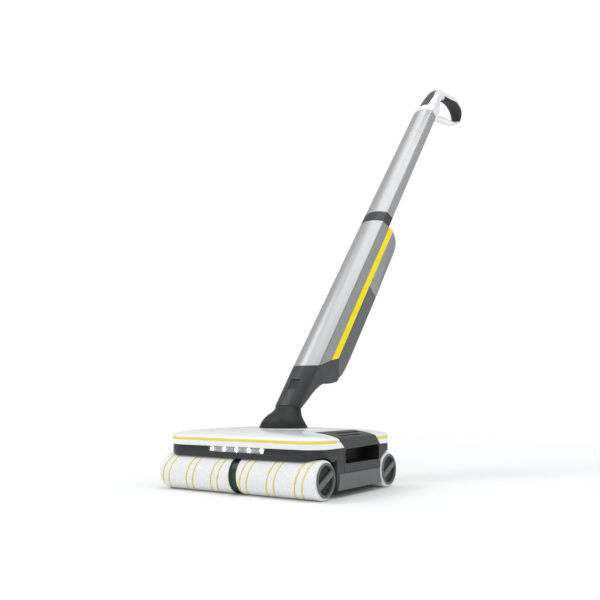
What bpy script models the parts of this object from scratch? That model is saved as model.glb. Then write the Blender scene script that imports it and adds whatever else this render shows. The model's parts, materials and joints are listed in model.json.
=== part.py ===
"""Cordless wet and dry floor scrubber: four-roller head, pitching neck and a leaning stick with a D handle.

Metres, +Z up.  The head stands on the floor (z = 0) with its rollers along X and its lamps facing -Y.
Head pieces are drawn about the middle of the head.  Stick pieces are drawn in the stick's own axes:
x across, y from the front face to the back, z up along the stick.
"""
from math import acos, atan, atan2, cos, hypot, pi, radians, sin

import bmesh
import bpy
from mathutils import Matrix, Vector

for leftover in list(bpy.data.objects):
    bpy.data.objects.remove(leftover, do_unlink=True)

# ---------------------------------------------------------------- driving dimensions
GAP = 0.0003                    # clearance between pieces that touch
HEAD_Y = -0.3617                # places the middle of the whole machine's footprint at the origin
HEAD_HALF_X = 0.1500            # head without the rollers' end caps
HEAD_HALF_Y = 0.1185
HEAD_BOW = 0.0020               # how far the front edge bows out at the middle
FRONT_CORNER = 0.0340           # plan radii of the head
REAR_CORNER = 0.0260

AXLE_Y = 0.1000                 # front and rear axles lie this far from the head's middle
AXLE_Z = 0.0290
ROLLER_RADIUS = 0.0290
ROLLER_OUTER_END = 0.1505
SLEEVE_BORE = 0.0226
ROLLER_ROOM = 0.0314            # radius of the arches that clear the rollers

DECK_LOW = 0.0660
DECK_TOP = 0.0717
CORE_LOW = 0.0105               # underside of the chassis between the rollers
CORE_HALF_X = 0.1375
CORE_HALF_Y = 0.0680
COVER_LOW = 0.0720
COVER_WALL = 0.0022
BAND_LOW = 0.0535               # lower edge of the black band at the front

LEAN = radians(39.59)           # the stick's lean from upright at rest
STICK_Y = -0.0215               # foot of the stick's front face, from the head's middle
STICK_Z = 0.0816
BAND_SLOPE = 0.45               # joints across the stick climb by this much towards its back
PIVOT = (0.0, 0.0200, 0.0229)   # neck pivot in the stick's axes
SWIVEL = (0.0, 0.0030, 0.0656)  # middle of the swivel joint in the stick's axes
SWIVEL_TILT = atan(BAND_SLOPE)  # its axis leans less than the stick, square to the sloped joint
BALL_RADIUS = 0.0400            # the ball is wider than deep: an ellipsoid turned about the pivot
BALL_WIDEN = 1.085

MODULE = 0.0015                 # gear teeth
FRONT_TEETH, IDLER_TEETH, PINION_TEETH = 30, 16, 10
IDLER_AT = (-0.06556, 0.0310)   # (y, z) of the idler and the motor shaft
MOTOR_AT = (-0.04609, 0.0300)
IDLER_PULLEY = 0.0060
REAR_PULLEY = IDLER_PULLEY * FRONT_TEETH / IDLER_TEETH

BODY_HALF = 0.0265              # half width of the stick's lower body
BODY_BULGE = 0.0095             # how far its front face bows forward
TUBE_DEPTH = 0.0265
STRIPE_FROM, STRIPE_TO = 0.0272, 0.0436
REAR_FROM = 0.0442              # the tank and the rear cover start here
BODY_TOP, TUBE_LOW, TUBE_TOP = 0.5612, 0.5915, 0.9985
TUBE_HALF_LOW, TUBE_HALF_TOP = 0.0262, 0.0248
TOP_SLOPE = 0.30                # the joint between the tube and the handle is flatter
TANK_TOP = 0.4100

WATER_Y, WATER_Z = 0.1090, 0.0625

SIDES = (("left", -1), ("right", 1))


# ---------------------------------------------------------------- materials
def finish(name, colour, roughness, metallic=0.0, transmission=0.0):
    made = bpy.data.materials.new(name)
    made.use_nodes = True
    shader = made.node_tree.nodes["Principled BSDF"]
    shader.inputs["Base Color"].default_value = (*colour, 1.0)
    shader.inputs["Roughness"].default_value = roughness
    shader.inputs["Metallic"].default_value = metallic
    shader.inputs["Transmission Weight"].default_value = transmission
    return made


WHITE = finish("white_gloss", (0.84, 0.84, 0.85), 0.22)
BLACK = finish("black_plastic", (0.030, 0.032, 0.035), 0.45)
CHARCOAL = finish("charcoal_plastic", (0.055, 0.058, 0.060), 0.42)
GREY = finish("grey_plastic", (0.13, 0.135, 0.14), 0.50)
TANK_GREY = finish("tank_grey", (0.14, 0.145, 0.15), 0.35)
YELLOW = finish("yellow_gloss", (0.90, 0.78, 0.01), 0.28)
GREEN = finish("green_plastic", (0.05, 0.22, 0.05), 0.45)
SILVER = finish("silver_satin", (0.62, 0.62, 0.64), 0.30, 0.7)
STEEL = finish("steel", (0.60, 0.60, 0.62), 0.28, 1.0)
NYLON = finish("nylon", (0.75, 0.74, 0.70), 0.50)
FABRIC = finish("microfibre", (0.86, 0.86, 0.86), 0.95)
RUBBER = finish("rubber", (0.020, 0.020, 0.022), 0.80)
SOFT_BLACK = finish("soft_grip", (0.020, 0.021, 0.022), 0.65)
CLEAR = finish("clear_lens", (0.92, 0.93, 0.95), 0.08, 0.0, 0.8)
BOARD = finish("circuit_board", (0.03, 0.16, 0.07), 0.50)
LAMP = finish("lamp_white", (0.95, 0.95, 0.95), 0.30)
WRAP = finish("battery_wrap", (0.05, 0.12, 0.30), 0.40)


# ---------------------------------------------------------------- frames
class Frame:
    """An empty on a joint's axis; pieces are drawn in the head's or the stick's axes and hang from it."""

    def __init__(self, name, system="head", origin=(0.0, 0.0, 0.0)):
        self.origin = Vector(origin)
        self.empty = bpy.data.objects.new(name + "_frame", None)
        bpy.context.scene.collection.objects.link(self.empty)
        if system == "stick":
            turn = Matrix.Rotation(-LEAN, 3, "X")
            self.empty.rotation_euler = (-LEAN, 0.0, 0.0)
            self.empty.location = Vector((0.0, HEAD_Y + STICK_Y, STICK_Z)) + turn @ self.origin
        else:
            self.empty.location = Vector((0.0, HEAD_Y, 0.0)) + self.origin


HEAD = Frame("head")
STICK = Frame("stick", "stick", SWIVEL)
NECK = Frame("neck", "stick", PIVOT)
FRONT_AXLE = Frame("front_axle", "head", (0.0, -AXLE_Y, AXLE_Z))
REAR_AXLE = Frame("rear_axle", "head", (0.0, AXLE_Y, AXLE_Z))
IDLER = Frame("idler", "head", (0.0, *IDLER_AT))
MOTOR = Frame("motor_shaft", "head", (0.0, *MOTOR_AT))


def place(name, bm, frame):
    bmesh.ops.recalc_face_normals(bm, faces=bm.faces[:])
    bmesh.ops.translate(bm, verts=bm.verts[:], vec=-frame.origin)
    mesh = bpy.data.meshes.new(name)
    bm.to_mesh(mesh)
    bm.free()
    made = bpy.data.objects.new(name, mesh)
    bpy.context.scene.collection.objects.link(made)
    made.parent = frame.empty
    return made


def piece(name, bm, material, frame=HEAD, sharp=35.0):
    made = place(name, bm, frame)
    made.data.materials.append(material)
    made.data.shade_smooth()
    made.data.set_sharp_from_angle(angle=radians(sharp))
    return made


def boolean(target, operation, tool):
    step = target.modifiers.new(operation.lower() + "_" + tool.name, "BOOLEAN")
    step.operation = operation
    step.object = tool


def tool(name, bm, frame=HEAD):
    made = place("tool_" + name, bm, frame)
    made.hide_render = True
    made.display_type = "WIRE"
    return made


def cut(target, name, bm, frame=HEAD):
    boolean(target, "DIFFERENCE", tool(target.name + "_" + name, bm, frame))


def join(target, name, bm, frame=HEAD):
    boolean(target, "UNION", tool(target.name + "_" + name, bm, frame))


def keep(target, name, bm, frame=HEAD):
    boolean(target, "INTERSECT", tool(target.name + "_" + name, bm, frame))


def round_edges(target, width, segments=2, angle=50.0):
    step = target.modifiers.new("round_edges", "BEVEL")
    step.width = width
    step.segments = segments
    step.limit_method = "ANGLE"
    step.angle_limit = radians(angle)


# ---------------------------------------------------------------- shapes
def loft(rings, ring_shaped=False):
    """Skin rings of equal point counts: capped at both ends, or closed on itself like a tyre."""
    bm = bmesh.new()
    rows = [[bm.verts.new(point) for point in ring] for ring in rings]
    pairs = list(zip(rows, rows[1:]))
    if ring_shaped:
        pairs.append((rows[-1], rows[0]))
    count = len(rows[0])
    for low, high in pairs:
        for i in range(count):
            j = (i + 1) % count
            bm.faces.new((low[i], low[j], high[j], high[i]))
    if not ring_shaped:
        bm.faces.new(list(reversed(rows[0])))
        bm.faces.new(rows[-1])
    return bm


def on_axis(axis, along, a, b):
    return {"X": (along, a, b), "Y": (a, along, b), "Z": (a, b, along)}[axis]


def prism(outline, axis, low, high):
    return loft([[on_axis(axis, along, a, b) for a, b in outline] for along in (low, high)])


def hollow_prism(outer, inner, axis, low, high):
    rings = [(outer, low), (outer, high), (inner, high), (inner, low)]
    return loft([[on_axis(axis, along, a, b) for a, b in outline] for outline, along in rings], True)


def block(x, y, z):
    return prism([(x[0], y[0]), (x[1], y[0]), (x[1], y[1]), (x[0], y[1])], "Z", z[0], z[1])


def circle(radius, segments, centre=(0.0, 0.0)):
    turns = [2 * pi * i / segments for i in range(segments)]
    return [(centre[0] + radius * cos(t), centre[1] + radius * sin(t)) for t in turns]


def arc(centre, radius, start, end, steps):
    turns = [radians(start + (end - start) * i / steps) for i in range(steps + 1)]
    return [(centre[0] + radius * cos(t), centre[1] + radius * sin(t)) for t in turns]


def turned(profile, axis, centre, segments, ring_shaped=False):
    """Turn (along, radius) pairs about an axis; ring_shaped profiles close on themselves."""
    return loft([[on_axis(axis, along, a, b) for a, b in circle(radius, segments, centre)]
                 for along, radius in profile], ring_shaped)


def rod(axis, centre, radius, low, high, segments=16):
    return turned([(low, radius), (high, radius)], axis, centre, segments)


def rounded_rectangle(half_x, low_y, high_y, radius, steps=3, front_radius=None):
    front = radius if front_radius is None else front_radius
    points = []
    for side, start in ((1, -90), (1, 0), (-1, 90), (-1, 180)):
        low = start in (-90, 180)
        turn = front if low else radius
        centre = (side * (half_x - turn), low_y + turn if low else high_y - turn)
        points += arc(centre, turn, start, start + 90, steps)
    return points


def sloped(section, level, slope=BAND_SLOPE):
    """A section lifted to a level, climbing towards the back."""
    return [(x, y, level + slope * y) for x, y in section]


def smooth_loop(points, steps=2):
    """A closed Catmull-Rom curve through the given points."""
    made = []
    count = len(points)
    for i in range(count):
        a, b, c, d = (Vector(points[(i + k) % count]) for k in (-1, 0, 1, 2))
        for s in range(steps):
            t = s / steps
            made.append(tuple(0.5 * (2 * b + (c - a) * t + (2 * a - 5 * b + 4 * c - d) * t ** 2
                                     + (3 * b - a - 3 * c + d) * t ** 3)))
    return made


# ---------------------------------------------------------------- the head's plan and dome
def head_outline(inset=0.0, steps=4, bow_steps=4):
    """Plan of the head, moved inwards by inset, with a slightly bowed front edge."""
    half_x, half_y = HEAD_HALF_X - inset, HEAD_HALF_Y - inset
    front, rear = max(FRONT_CORNER - inset, 0.004), max(REAR_CORNER - inset, 0.004)
    points = arc((half_x - rear, half_y - rear), rear, 0, 90, steps)
    points += arc((rear - half_x, half_y - rear), rear, 90, 180, steps)
    points += arc((front - half_x, front - half_y), front, 180, 270, steps)
    edge = half_x - front
    points += [(-edge + 2 * edge * i / bow_steps, -half_y) for i in range(1, bow_steps)]
    points += arc((half_x - front, front - half_y), front, 270, 360, steps)
    bowed = []
    for x, y in points:
        share = max(0.0, 1.0 - (x / half_x) ** 2) * max(0.0, -y / half_y)
        bowed.append((x, y - HEAD_BOW * share))
    return bowed


DOME = ((0.0000, 0.0845), (0.0014, 0.0868), (0.0055, 0.0888), (0.0140, 0.0910), (0.0290, 0.0934),
        (0.0530, 0.0957), (0.0900, 0.0974))


def dome(low, inset=0.0, drop=0.0):
    """Rings of the cover's outside from low up over the dome, or of its inside."""
    rings = [(inset, low)] + [(max(step, inset), height - drop) for step, height in DOME]
    return [[(x, y, z) for x, y in head_outline(step)] for step, z in rings]


# ---------------------------------------------------------------- sliding tanks' outlines (y, z)
DRAWER_FRONT, DRAWER_REAR, DRAWER_LOW = -0.0455, 0.0705, 0.0355
DRAWER_BLOCK_FROM = 0.1080      # the cover's block starts here and the tank tray ends
TRAY_FROM = 0.0680


def drawer_outline(grow=0.0):
    return [(DRAWER_FRONT - grow, DRAWER_LOW - grow), (DRAWER_REAR + grow, DRAWER_LOW - grow),
            (DRAWER_REAR + grow, DECK_TOP), (0.0530 + grow, 0.0890), (0.0530 + grow, 0.1100),
            (-0.0660 - grow, 0.1100), (-0.0660 - grow, 0.0890), (DRAWER_FRONT - grow, DECK_TOP)]


# ---------------------------------------------------------------- chassis and covers
def build_chassis():
    made = piece("chassis", prism(head_outline(0.0060), "Z", DECK_LOW, DECK_TOP), BLACK)
    join(made, "core", block((-CORE_HALF_X, CORE_HALF_X), (-CORE_HALF_Y, CORE_HALF_Y),
                             (CORE_LOW, DECK_LOW + 0.001)))
    cut(made, "well", block((-0.0465, 0.0465), (-0.0363, 0.0683), (0.0437, 0.0900)))
    cut(made, "spine", block((-0.0061, 0.0061), (-0.0750, 0.0750), (0.0000, 0.0570)))
    cut(made, "motor", rod("X", MOTOR_AT, 0.0156, 0.0055, 0.0640, 24))
    cut(made, "feed_groove", rod("Y", (0.0500, WATER_Z), 0.0024, -0.1, 0.1, 12))
    for side, sign in SIDES:
        cut(made, side + "_pocket", prism(drawer_outline(GAP), "X", sign * 0.1075, sign * 0.1700))
        cut(made, side + "_panel_seat", block(sorted((sign * (PANEL_FROM - GAP), sign * 0.2)),
                                              (PANEL_FRONT - GAP, PANEL_REAR + GAP), (0.0000, 0.1000)))
        cut(made, side + "_tray_room", block(sorted((sign * (TRAY_FROM - 0.0005), sign * 0.1100)),
                                             (-0.0435, 0.0685), (DRAWER_LOW - GAP, 0.0615)))


def build_top_cover():
    inner = list(reversed(dome(COVER_LOW, COVER_WALL, COVER_WALL)))
    made = piece("top_cover", loft(inner + dome(COVER_LOW)), WHITE)
    for side, sign in SIDES:
        cut(made, side + "_notch", prism(drawer_outline(GAP), "X", sign * 0.1075, sign * 0.1700))
    cut(made, "ball_slot", prism([(x * BALL_WIDEN, y + stick_point(PIVOT)[0]) for x, y in circle(0.0410, 28)],
                                 "Z", 0.08, 0.11))
    cut(made, "lean_slot", prism(rounded_rectangle(0.0300, 0.0200, 0.0625, 0.0060), "Z", 0.08, 0.11))
    groove = hollow_prism(head_outline(-0.0020), head_outline(0.0011), "Z", TRIM_LOW - GAP, TRIM_TOP + GAP)
    cut(made, "trim_groove", groove)


TRIM_LOW, TRIM_TOP = 0.0808, 0.0838


def build_trim(name, keep_y):
    """Yellow strip let into the cover's edge, in front of or behind the sliding tanks."""
    ring = hollow_prism(head_outline(-0.0002), head_outline(0.0008), "Z", TRIM_LOW, TRIM_TOP)
    made = piece(name, ring, YELLOW)
    keep(made, "part", block((-0.2, 0.2), keep_y, (0.07, 0.09)))


def build_bumper(name, low, keep_y, axle_y):
    ring = hollow_prism(head_outline(0.0010), head_outline(0.0045), "Z", low, DECK_TOP)
    made = piece(name, ring, BLACK)
    keep(made, "part", block((-0.2, 0.2), keep_y, (0.03, 0.09)))
    cut(made, "roller_room", rod("X", (axle_y, AXLE_Z), ROLLER_ROOM, -0.2, 0.2, 36))
    return made


PANEL_FROM, PANEL_TO = 0.1380, 0.1488
PANEL_FRONT, PANEL_REAR = -0.0660, 0.0708
STRIP_TOP = 0.0345
STRIP_BACK = 0.1464
ARCH_RIM = 0.0395


def build_side(side, sign):
    """Dark side panel around the sliding tank, with a lighter strip along its foot."""
    outline = [(PANEL_FRONT, CORE_LOW), (PANEL_REAR, CORE_LOW), (PANEL_REAR, DECK_TOP),
               (PANEL_FRONT, DECK_TOP)]
    panel = piece("side_panel_" + side, prism(outline, "X", sign * PANEL_FROM, sign * PANEL_TO), CHARCOAL)
    for end, y in (("front", -AXLE_Y), ("rear", AXLE_Y)):
        cut(panel, end + "_arch", rod("X", (y, AXLE_Z), ROLLER_ROOM, sign * 0.1, sign * 0.2, 32))
    cut(panel, "drawer", prism(drawer_outline(GAP), "X", sign * 0.1, sign * 0.2))
    outline = [(-0.0670, CORE_LOW), (0.0750, CORE_LOW), (0.0750, STRIP_TOP), (-0.0670, STRIP_TOP)]
    grown = [(-0.0690, 0.0), (0.0780, 0.0), (0.0780, STRIP_TOP + GAP), (-0.0690, STRIP_TOP + GAP)]
    recess = tool("strip_recess_" + side, prism(grown, "X", sign * (STRIP_BACK - GAP), sign * 0.2))
    rim = rod("X", (-AXLE_Y, AXLE_Z), ARCH_RIM - GAP, sign * 0.1, sign * 0.21, 32)
    boolean(recess, "DIFFERENCE", tool("strip_rim_" + side, rim))
    boolean(panel, "DIFFERENCE", recess)
    strip = piece("side_strip_" + side, prism(outline, "X", sign * STRIP_BACK, sign * 0.1498), GREY)
    cut(strip, "rim", rod("X", (-AXLE_Y, AXLE_Z), ARCH_RIM, sign * 0.1, sign * 0.2, 32))
    cut(strip, "arch", rod("X", (AXLE_Y, AXLE_Z), ROLLER_ROOM, sign * 0.1, sign * 0.2, 32))


LAMP_HALF = 0.0560
LAMP_LOW = 0.0638
LAMP_Z = 0.0678
LAMP_PITCH = 0.0240


def build_lamps(bumper):
    cut(bumper, "lamp_window", block((-LAMP_HALF - GAP, LAMP_HALF + GAP), (-0.2, -0.1), (LAMP_LOW - GAP, 0.08)))
    ring = hollow_prism(head_outline(0.0010), head_outline(0.0026), "Z", LAMP_LOW, DECK_TOP - GAP)
    lens = piece("led_lens", ring, CLEAR)
    keep(lens, "part", block((-LAMP_HALF, LAMP_HALF), (-0.2, 0.0), (0.03, 0.09)))
    ring = hollow_prism(head_outline(0.0040), head_outline(0.0052), "Z", LAMP_LOW + 0.0006, DECK_TOP - 0.0008)
    board = piece("led_board", ring, LAMP)
    keep(board, "part", block((-LAMP_HALF + 0.001, LAMP_HALF - 0.001), (-0.2, 0.0), (0.03, 0.09)))
    for i in range(-2, 3):
        x = i * LAMP_PITCH
        front = -HEAD_HALF_Y - HEAD_BOW * (1 - (x / HEAD_HALF_X) ** 2)
        lamp = turned([(front + 0.0031, 0.0016), (front + 0.0036, 0.0025), (front + 0.0048, 0.0027)],
                      "Y", (x, LAMP_Z), 12)
        join(board, "lamp_%d" % (i + 3), lamp)


def build_neck_well():
    pivot_y, pivot_z = stick_point(PIVOT)
    made = piece("neck_well", block((-0.0462, 0.0462), (-0.0360, 0.0680), (0.0440, 0.0915)), BLACK)
    cut(made, "cradle", rod("X", (pivot_y, pivot_z), BALL_RADIUS + 0.0012, -0.0442, 0.0442, 36))
    cut(made, "lean_room", block((-0.0300, 0.0300), (0.0080, 0.0625), (0.0770, 0.1000)))
    cut(made, "pin_bore", rod("X", (pivot_y, pivot_z), 0.0043, -0.1, 0.1, 16))
    pin = piece("pivot_pin", rod("X", (PIVOT[1], PIVOT[2]), 0.0040, -0.0459, 0.0459, 12), STEEL, NECK)
    return pin


def stick_point(local):
    """(y, z) about the head's middle of a point in the stick's axes."""
    _, back, up = local
    return (STICK_Y + sin(LEAN) * up + cos(LEAN) * back, STICK_Z + cos(LEAN) * up - sin(LEAN) * back)


# ---------------------------------------------------------------- drive
SPINE_HALF = 0.0058             # half width of the gear case between the rollers
SPINE_DISC = 0.0262
GEAR_X = (-0.0044, -0.0008)
BELT_X = (0.0010, 0.0042)


def spine_outline(inset):
    disc = SPINE_DISC - inset
    low, step, high = 0.0125 + inset, 0.0432 - inset, 0.0545 - inset
    foot = 180 / pi * acos(min(1.0, (AXLE_Z - low) / disc))
    points = arc((-AXLE_Y, AXLE_Z), disc, 62, 270 + foot, 14)
    points += arc((AXLE_Y, AXLE_Z), disc, 270 - foot, 508, 14)
    return points + [(-0.0400 - inset, step), (-0.0420 - inset, high), (-0.0840, high - 0.0004)]


def gear_outline(teeth, centre, phase):
    """Straight-flanked teeth with backlash; a tooth's middle lies at the angle phase."""
    pitch = MODULE * teeth / 2
    points = []
    for i in range(teeth):
        middle = phase + 2 * pi * i / teeth
        for radius, half in ((pitch - 0.00175, -0.0014), (pitch + 0.0013, -0.0004),
                             (pitch + 0.0013, 0.0004), (pitch - 0.00175, 0.0014)):
            angle = middle + half / radius
            points.append((centre[0] + radius * cos(angle), centre[1] + radius * sin(angle)))
    return points


def build_drive():
    made = piece("gear_case", prism(spine_outline(0.0), "X", -SPINE_HALF, SPINE_HALF), BLACK)
    cut(made, "inside", prism(spine_outline(0.0012), "X", -0.0048, 0.0048))
    for name, at, radius in (("front", (-AXLE_Y, AXLE_Z), 0.0055), ("rear", (AXLE_Y, AXLE_Z), 0.0055),
                             ("idler", IDLER_AT, 0.0024), ("motor", MOTOR_AT, 0.0026)):
        cut(made, name + "_bore", rod("X", at, radius, -0.02, 0.02, 16))

    front_at = (-AXLE_Y, AXLE_Z)
    to_idler = atan2(IDLER_AT[1] - AXLE_Z, IDLER_AT[0] + AXLE_Y)
    to_motor = atan2(MOTOR_AT[1] - IDLER_AT[1], MOTOR_AT[0] - IDLER_AT[0])
    idler_phase = to_idler + pi + pi / IDLER_TEETH
    turn = (to_motor - idler_phase) * IDLER_TEETH / (2 * pi)
    share = turn - round(turn)
    pinion_phase = to_motor + pi + (pi + 2 * pi * share) / PINION_TEETH

    axle = piece("front_axle", rod("X", front_at, 0.0050, -0.1370, 0.1370), STEEL, FRONT_AXLE)
    join(axle, "gear", prism(gear_outline(FRONT_TEETH, front_at, to_idler), "X", *GEAR_X), FRONT_AXLE)
    rear_at = (AXLE_Y, AXLE_Z)
    axle = piece("rear_axle", rod("X", rear_at, 0.0050, -0.1370, 0.1370), STEEL, REAR_AXLE)
    join(axle, "pulley", rod("X", rear_at, REAR_PULLEY, *BELT_X, 32), REAR_AXLE)
    wheel = prism(gear_outline(IDLER_TEETH, IDLER_AT, idler_phase), "X", *GEAR_X)
    idler = piece("idler_gear", wheel, NYLON, IDLER)
    join(idler, "pulley", rod("X", IDLER_AT, IDLER_PULLEY, GEAR_X[1] - 0.0004, BELT_X[1], 24), IDLER)
    join(idler, "stub", rod("X", IDLER_AT, 0.0020, -0.0056, 0.0056, 12), IDLER)
    pinion = piece("motor_pinion", prism(gear_outline(PINION_TEETH, MOTOR_AT, pinion_phase), "X", *GEAR_X),
                   STEEL, MOTOR)
    join(pinion, "shaft", rod("X", MOTOR_AT, 0.0020, -0.0030, 0.0300, 12), MOTOR)

    motor = piece("drive_motor", turned([(0.0068, 0.0090), (0.0088, 0.0090), (0.0088, 0.0150), (0.0560, 0.0150),
                                         (0.0572, 0.0140), (0.0620, 0.0060), (0.0632, 0.0060)],
                                        "X", MOTOR_AT, 24), STEEL)
    cut(motor, "shaft_bore", rod("X", MOTOR_AT, 0.0026, -0.01, 0.0310, 12))
    piece("drive_belt", hollow_prism(belt_outline(0.0015), belt_outline(0.0003), "X", *BELT_X), RUBBER)


def belt_outline(grow, steps=10):
    """Outline of the belt around the idler's pulley and the rear pulley, grown outwards."""
    run_y, run_z = AXLE_Y - IDLER_AT[0], AXLE_Z - IDLER_AT[1]
    slope = atan2(run_z, run_y) * 180 / pi
    touch = acos((REAR_PULLEY - IDLER_PULLEY) / hypot(run_y, run_z)) * 180 / pi
    points = arc((AXLE_Y, AXLE_Z), REAR_PULLEY + grow, slope - 180 + touch, slope + 180 - touch, steps + 4)
    points += arc(IDLER_AT, IDLER_PULLEY + grow, slope + 180 - touch, slope + 180 + touch, steps)
    return points


# ---------------------------------------------------------------- rollers
def build_roller(end, side, sign):
    at = (-AXLE_Y if end == "front" else AXLE_Y, AXLE_Z)
    frame = FRONT_AXLE if end == "front" else REAR_AXLE
    name = "_%s_%s" % (end, side)

    def along(profile):
        return [(sign * x, radius) for x, radius in profile]

    core = [(0.0063, 0.0054), (0.0063, 0.0282), (0.0068, 0.0282), (0.0068, 0.0223), (0.1378, 0.0223),
            (0.1378, 0.0194), (0.0100, 0.0194), (0.0100, 0.0054)]
    piece("roller_core" + name, turned(along(core), "X", at, 18, True), GREEN, frame)
    low, high = 0.0071, ROLLER_OUTER_END
    sleeve = [(low, SLEEVE_BORE), (low, 0.0276), (low + 0.0022, ROLLER_RADIUS),
              (high - 0.0045, ROLLER_RADIUS), (high - 0.0018, 0.0284), (high - 0.0012, 0.0268),
              (high - 0.0012, SLEEVE_BORE)]
    piece("roller_sleeve" + name, turned(along(sleeve), "X", at, 28, True), FABRIC, frame)
    cap = [(0.1280, 0.0120), (0.1280, 0.0190), (0.1382, 0.0190), (0.1382, 0.0222), (0.1496, 0.0222),
           (0.1496, 0.0248), (0.1510, 0.0248), (0.1514, 0.0240), (0.1514, 0.0216), (0.1474, 0.0210),
           (0.1474, 0.0050), (0.1400, 0.0050), (0.1400, 0.0120)]
    made = piece("roller_cap" + name, turned(along(cap), "X", at, 20, True), CHARCOAL, frame)
    bar = prism([(-0.0208, -0.0044), (0.0208, -0.0044), (0.0208, 0.0044), (-0.0208, 0.0044)], "X",
                sign * 0.1450, sign * 0.1508)
    bmesh.ops.rotate(bar, verts=bar.verts[:], cent=(0, 0, 0), matrix=Matrix.Rotation(radians(27), 3, "X"))
    bmesh.ops.translate(bar, verts=bar.verts[:], vec=(0.0, *at))
    join(made, "grip_bar", bar, frame)


# ---------------------------------------------------------------- sliding dirty-water tanks
def build_drawer(side, sign):
    tray = piece("dirty_tank_" + side, block(sorted((sign * TRAY_FROM, sign * (DRAWER_BLOCK_FROM - GAP))),
                                             (-0.0430, 0.0680), (0.0360, 0.0590)), CHARCOAL)
    cut(tray, "inside", block(sorted((sign * (TRAY_FROM + 0.0016), sign * (DRAWER_BLOCK_FROM - 0.0019))),
                              (-0.0414, 0.0664), (0.0376, 0.0700)))
    cover = piece("tank_cover_" + side, prism(drawer_outline(), "X", sign * DRAWER_BLOCK_FROM, sign * 0.1600),
                  CHARCOAL)
    keep(cover, "dome", loft(dome(0.0, 0.0008)))
    cut(cover, "hand_room", prism([(-0.0425, 0.0485), (0.0672, 0.0485), (0.0672, 0.0700), (0.0640, 0.0722),
                                   (-0.0400, 0.0700), (-0.0425, 0.0675)], "X", sign * 0.1180, sign * 0.2))
    for i, (front, rear) in enumerate(((-0.040, 0.014), (-0.033, 0.036))):
        x = 0.1400 - 0.0150 * i
        cut(cover, "rib_%d" % i, block(sorted((sign * (x - 0.003), sign * (x + 0.003))), (front, rear),
                                       (0.0882 + 0.0024 * i, 0.11)))


# ---------------------------------------------------------------- scrapers and water bar
def build_wiper(name, sign):
    """Blade that wrings the roller from above, on the side towards the tanks."""
    outline = [(sign * 0.0902, 0.0603), (sign * 0.0822, 0.0603), (sign * 0.0832, 0.0565),
               (sign * 0.0848, 0.0544)]
    piece(name, prism(outline, "X", -0.1350, 0.1350), RUBBER)


def build_water_bar():
    made = piece("water_bar", rod("X", (-WATER_Y, WATER_Z), 0.0019, -0.1000, 0.1000, 10), NYLON)
    join(made, "rear", rod("X", (WATER_Y, WATER_Z), 0.0019, -0.1000, 0.1000, 10))
    join(made, "feed", rod("Y", (0.0500, WATER_Z), 0.0016, -WATER_Y, WATER_Y, 10))


# ---------------------------------------------------------------- neck
def spindle(radius, low, high, segments=20):
    """A rod on the tilted swivel axis, in the stick's axes."""
    made = rod("Z", (0.0, 0.0), radius, low, high, segments)
    bmesh.ops.rotate(made, verts=made.verts[:], cent=(0, 0, 0), matrix=Matrix.Rotation(SWIVEL_TILT, 3, "X"))
    bmesh.ops.translate(made, verts=made.verts[:], vec=SWIVEL)
    return made


def build_neck():
    """Hollow neck: rings up the stick as (height, back, half width, half depth), with a spigot on top."""
    def ball(radius, start, end, steps):
        angles = [radians(start + (end - start) * i / steps) for i in range(steps + 1)]
        return [(PIVOT[2] + radius * sin(a), PIVOT[1], radius * cos(a) * BALL_WIDEN, radius * cos(a))
                for a in angles]

    outer = ball(BALL_RADIUS, -60, 32, 6)
    outer += [(0.0490, 0.0160, 0.0325, 0.0285), (0.0532, 0.0130, 0.0290, 0.0248),
              (0.0576, 0.0098, 0.0261, 0.0206)]
    inner = ball(BALL_RADIUS - 0.0040, -62, 30, 5)
    inner += [(0.0530, 0.0128, 0.0245, 0.0205), (0.0595, 0.0060, 0.0150, 0.0100)]
    rings = [[(half_x * x, back + half_y * y, up) for x, y in circle(1.0, 24)]
             for up, back, half_x, half_y in list(reversed(inner)) + outer]
    rings.append(sloped([(0.0242 * x, 0.0030 + 0.0122 * y) for x, y in circle(1.0, 24)], FOOT_LOW - 0.0004))
    made = piece("neck_yoke", loft(rings), CHARCOAL, NECK)
    join(made, "spigot", spindle(0.0055, -0.0030, 0.0115), NECK)
    cut(made, "pin_bore", rod("X", (PIVOT[1], PIVOT[2]), 0.0043, -0.1, 0.1, 12), NECK)


# ---------------------------------------------------------------- stick body
def bulged(half, bulge, back, corner, steps=8):
    """Section with a bowed front and a square back: (x, y) points."""
    front = [(half * (2 * i / steps - 1), -bulge * (1 - (2 * i / steps - 1) ** 2)) for i in range(steps + 1)]
    rear = arc((half - corner, back - corner), corner, 0, 90, 2)
    rear += arc((corner - half, back - corner), corner, 90, 180, 2)
    return front + rear


FOOT_LINE = ((-0.0200, 0.1400), (0.0000, 0.1575), (0.0034, 0.1610), (0.0273, 0.1943), (0.0439, 0.2135))
SEAM_LOW = (0.0670, 0.1830)     # lower end of the seam between the foot and the tank
FOOT_LOW = 0.0645


def below_foot_line(shift):
    """Everything under the line where the black foot meets the silver body, in (y, z)."""
    line = [(back, up + shift) for back, up in FOOT_LINE]
    return line + [(0.0900, 0.2650 + shift), (0.0900, 0.0), (-0.0200, 0.0)]


def above_slope(level):
    """Everything over a joint that climbs towards the back of the stick, in (y, z)."""
    return [(-0.05, level - 0.05 * BAND_SLOPE), (0.10, level + 0.10 * BAND_SLOPE), (0.10, 2.0), (-0.05, 2.0)]


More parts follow.
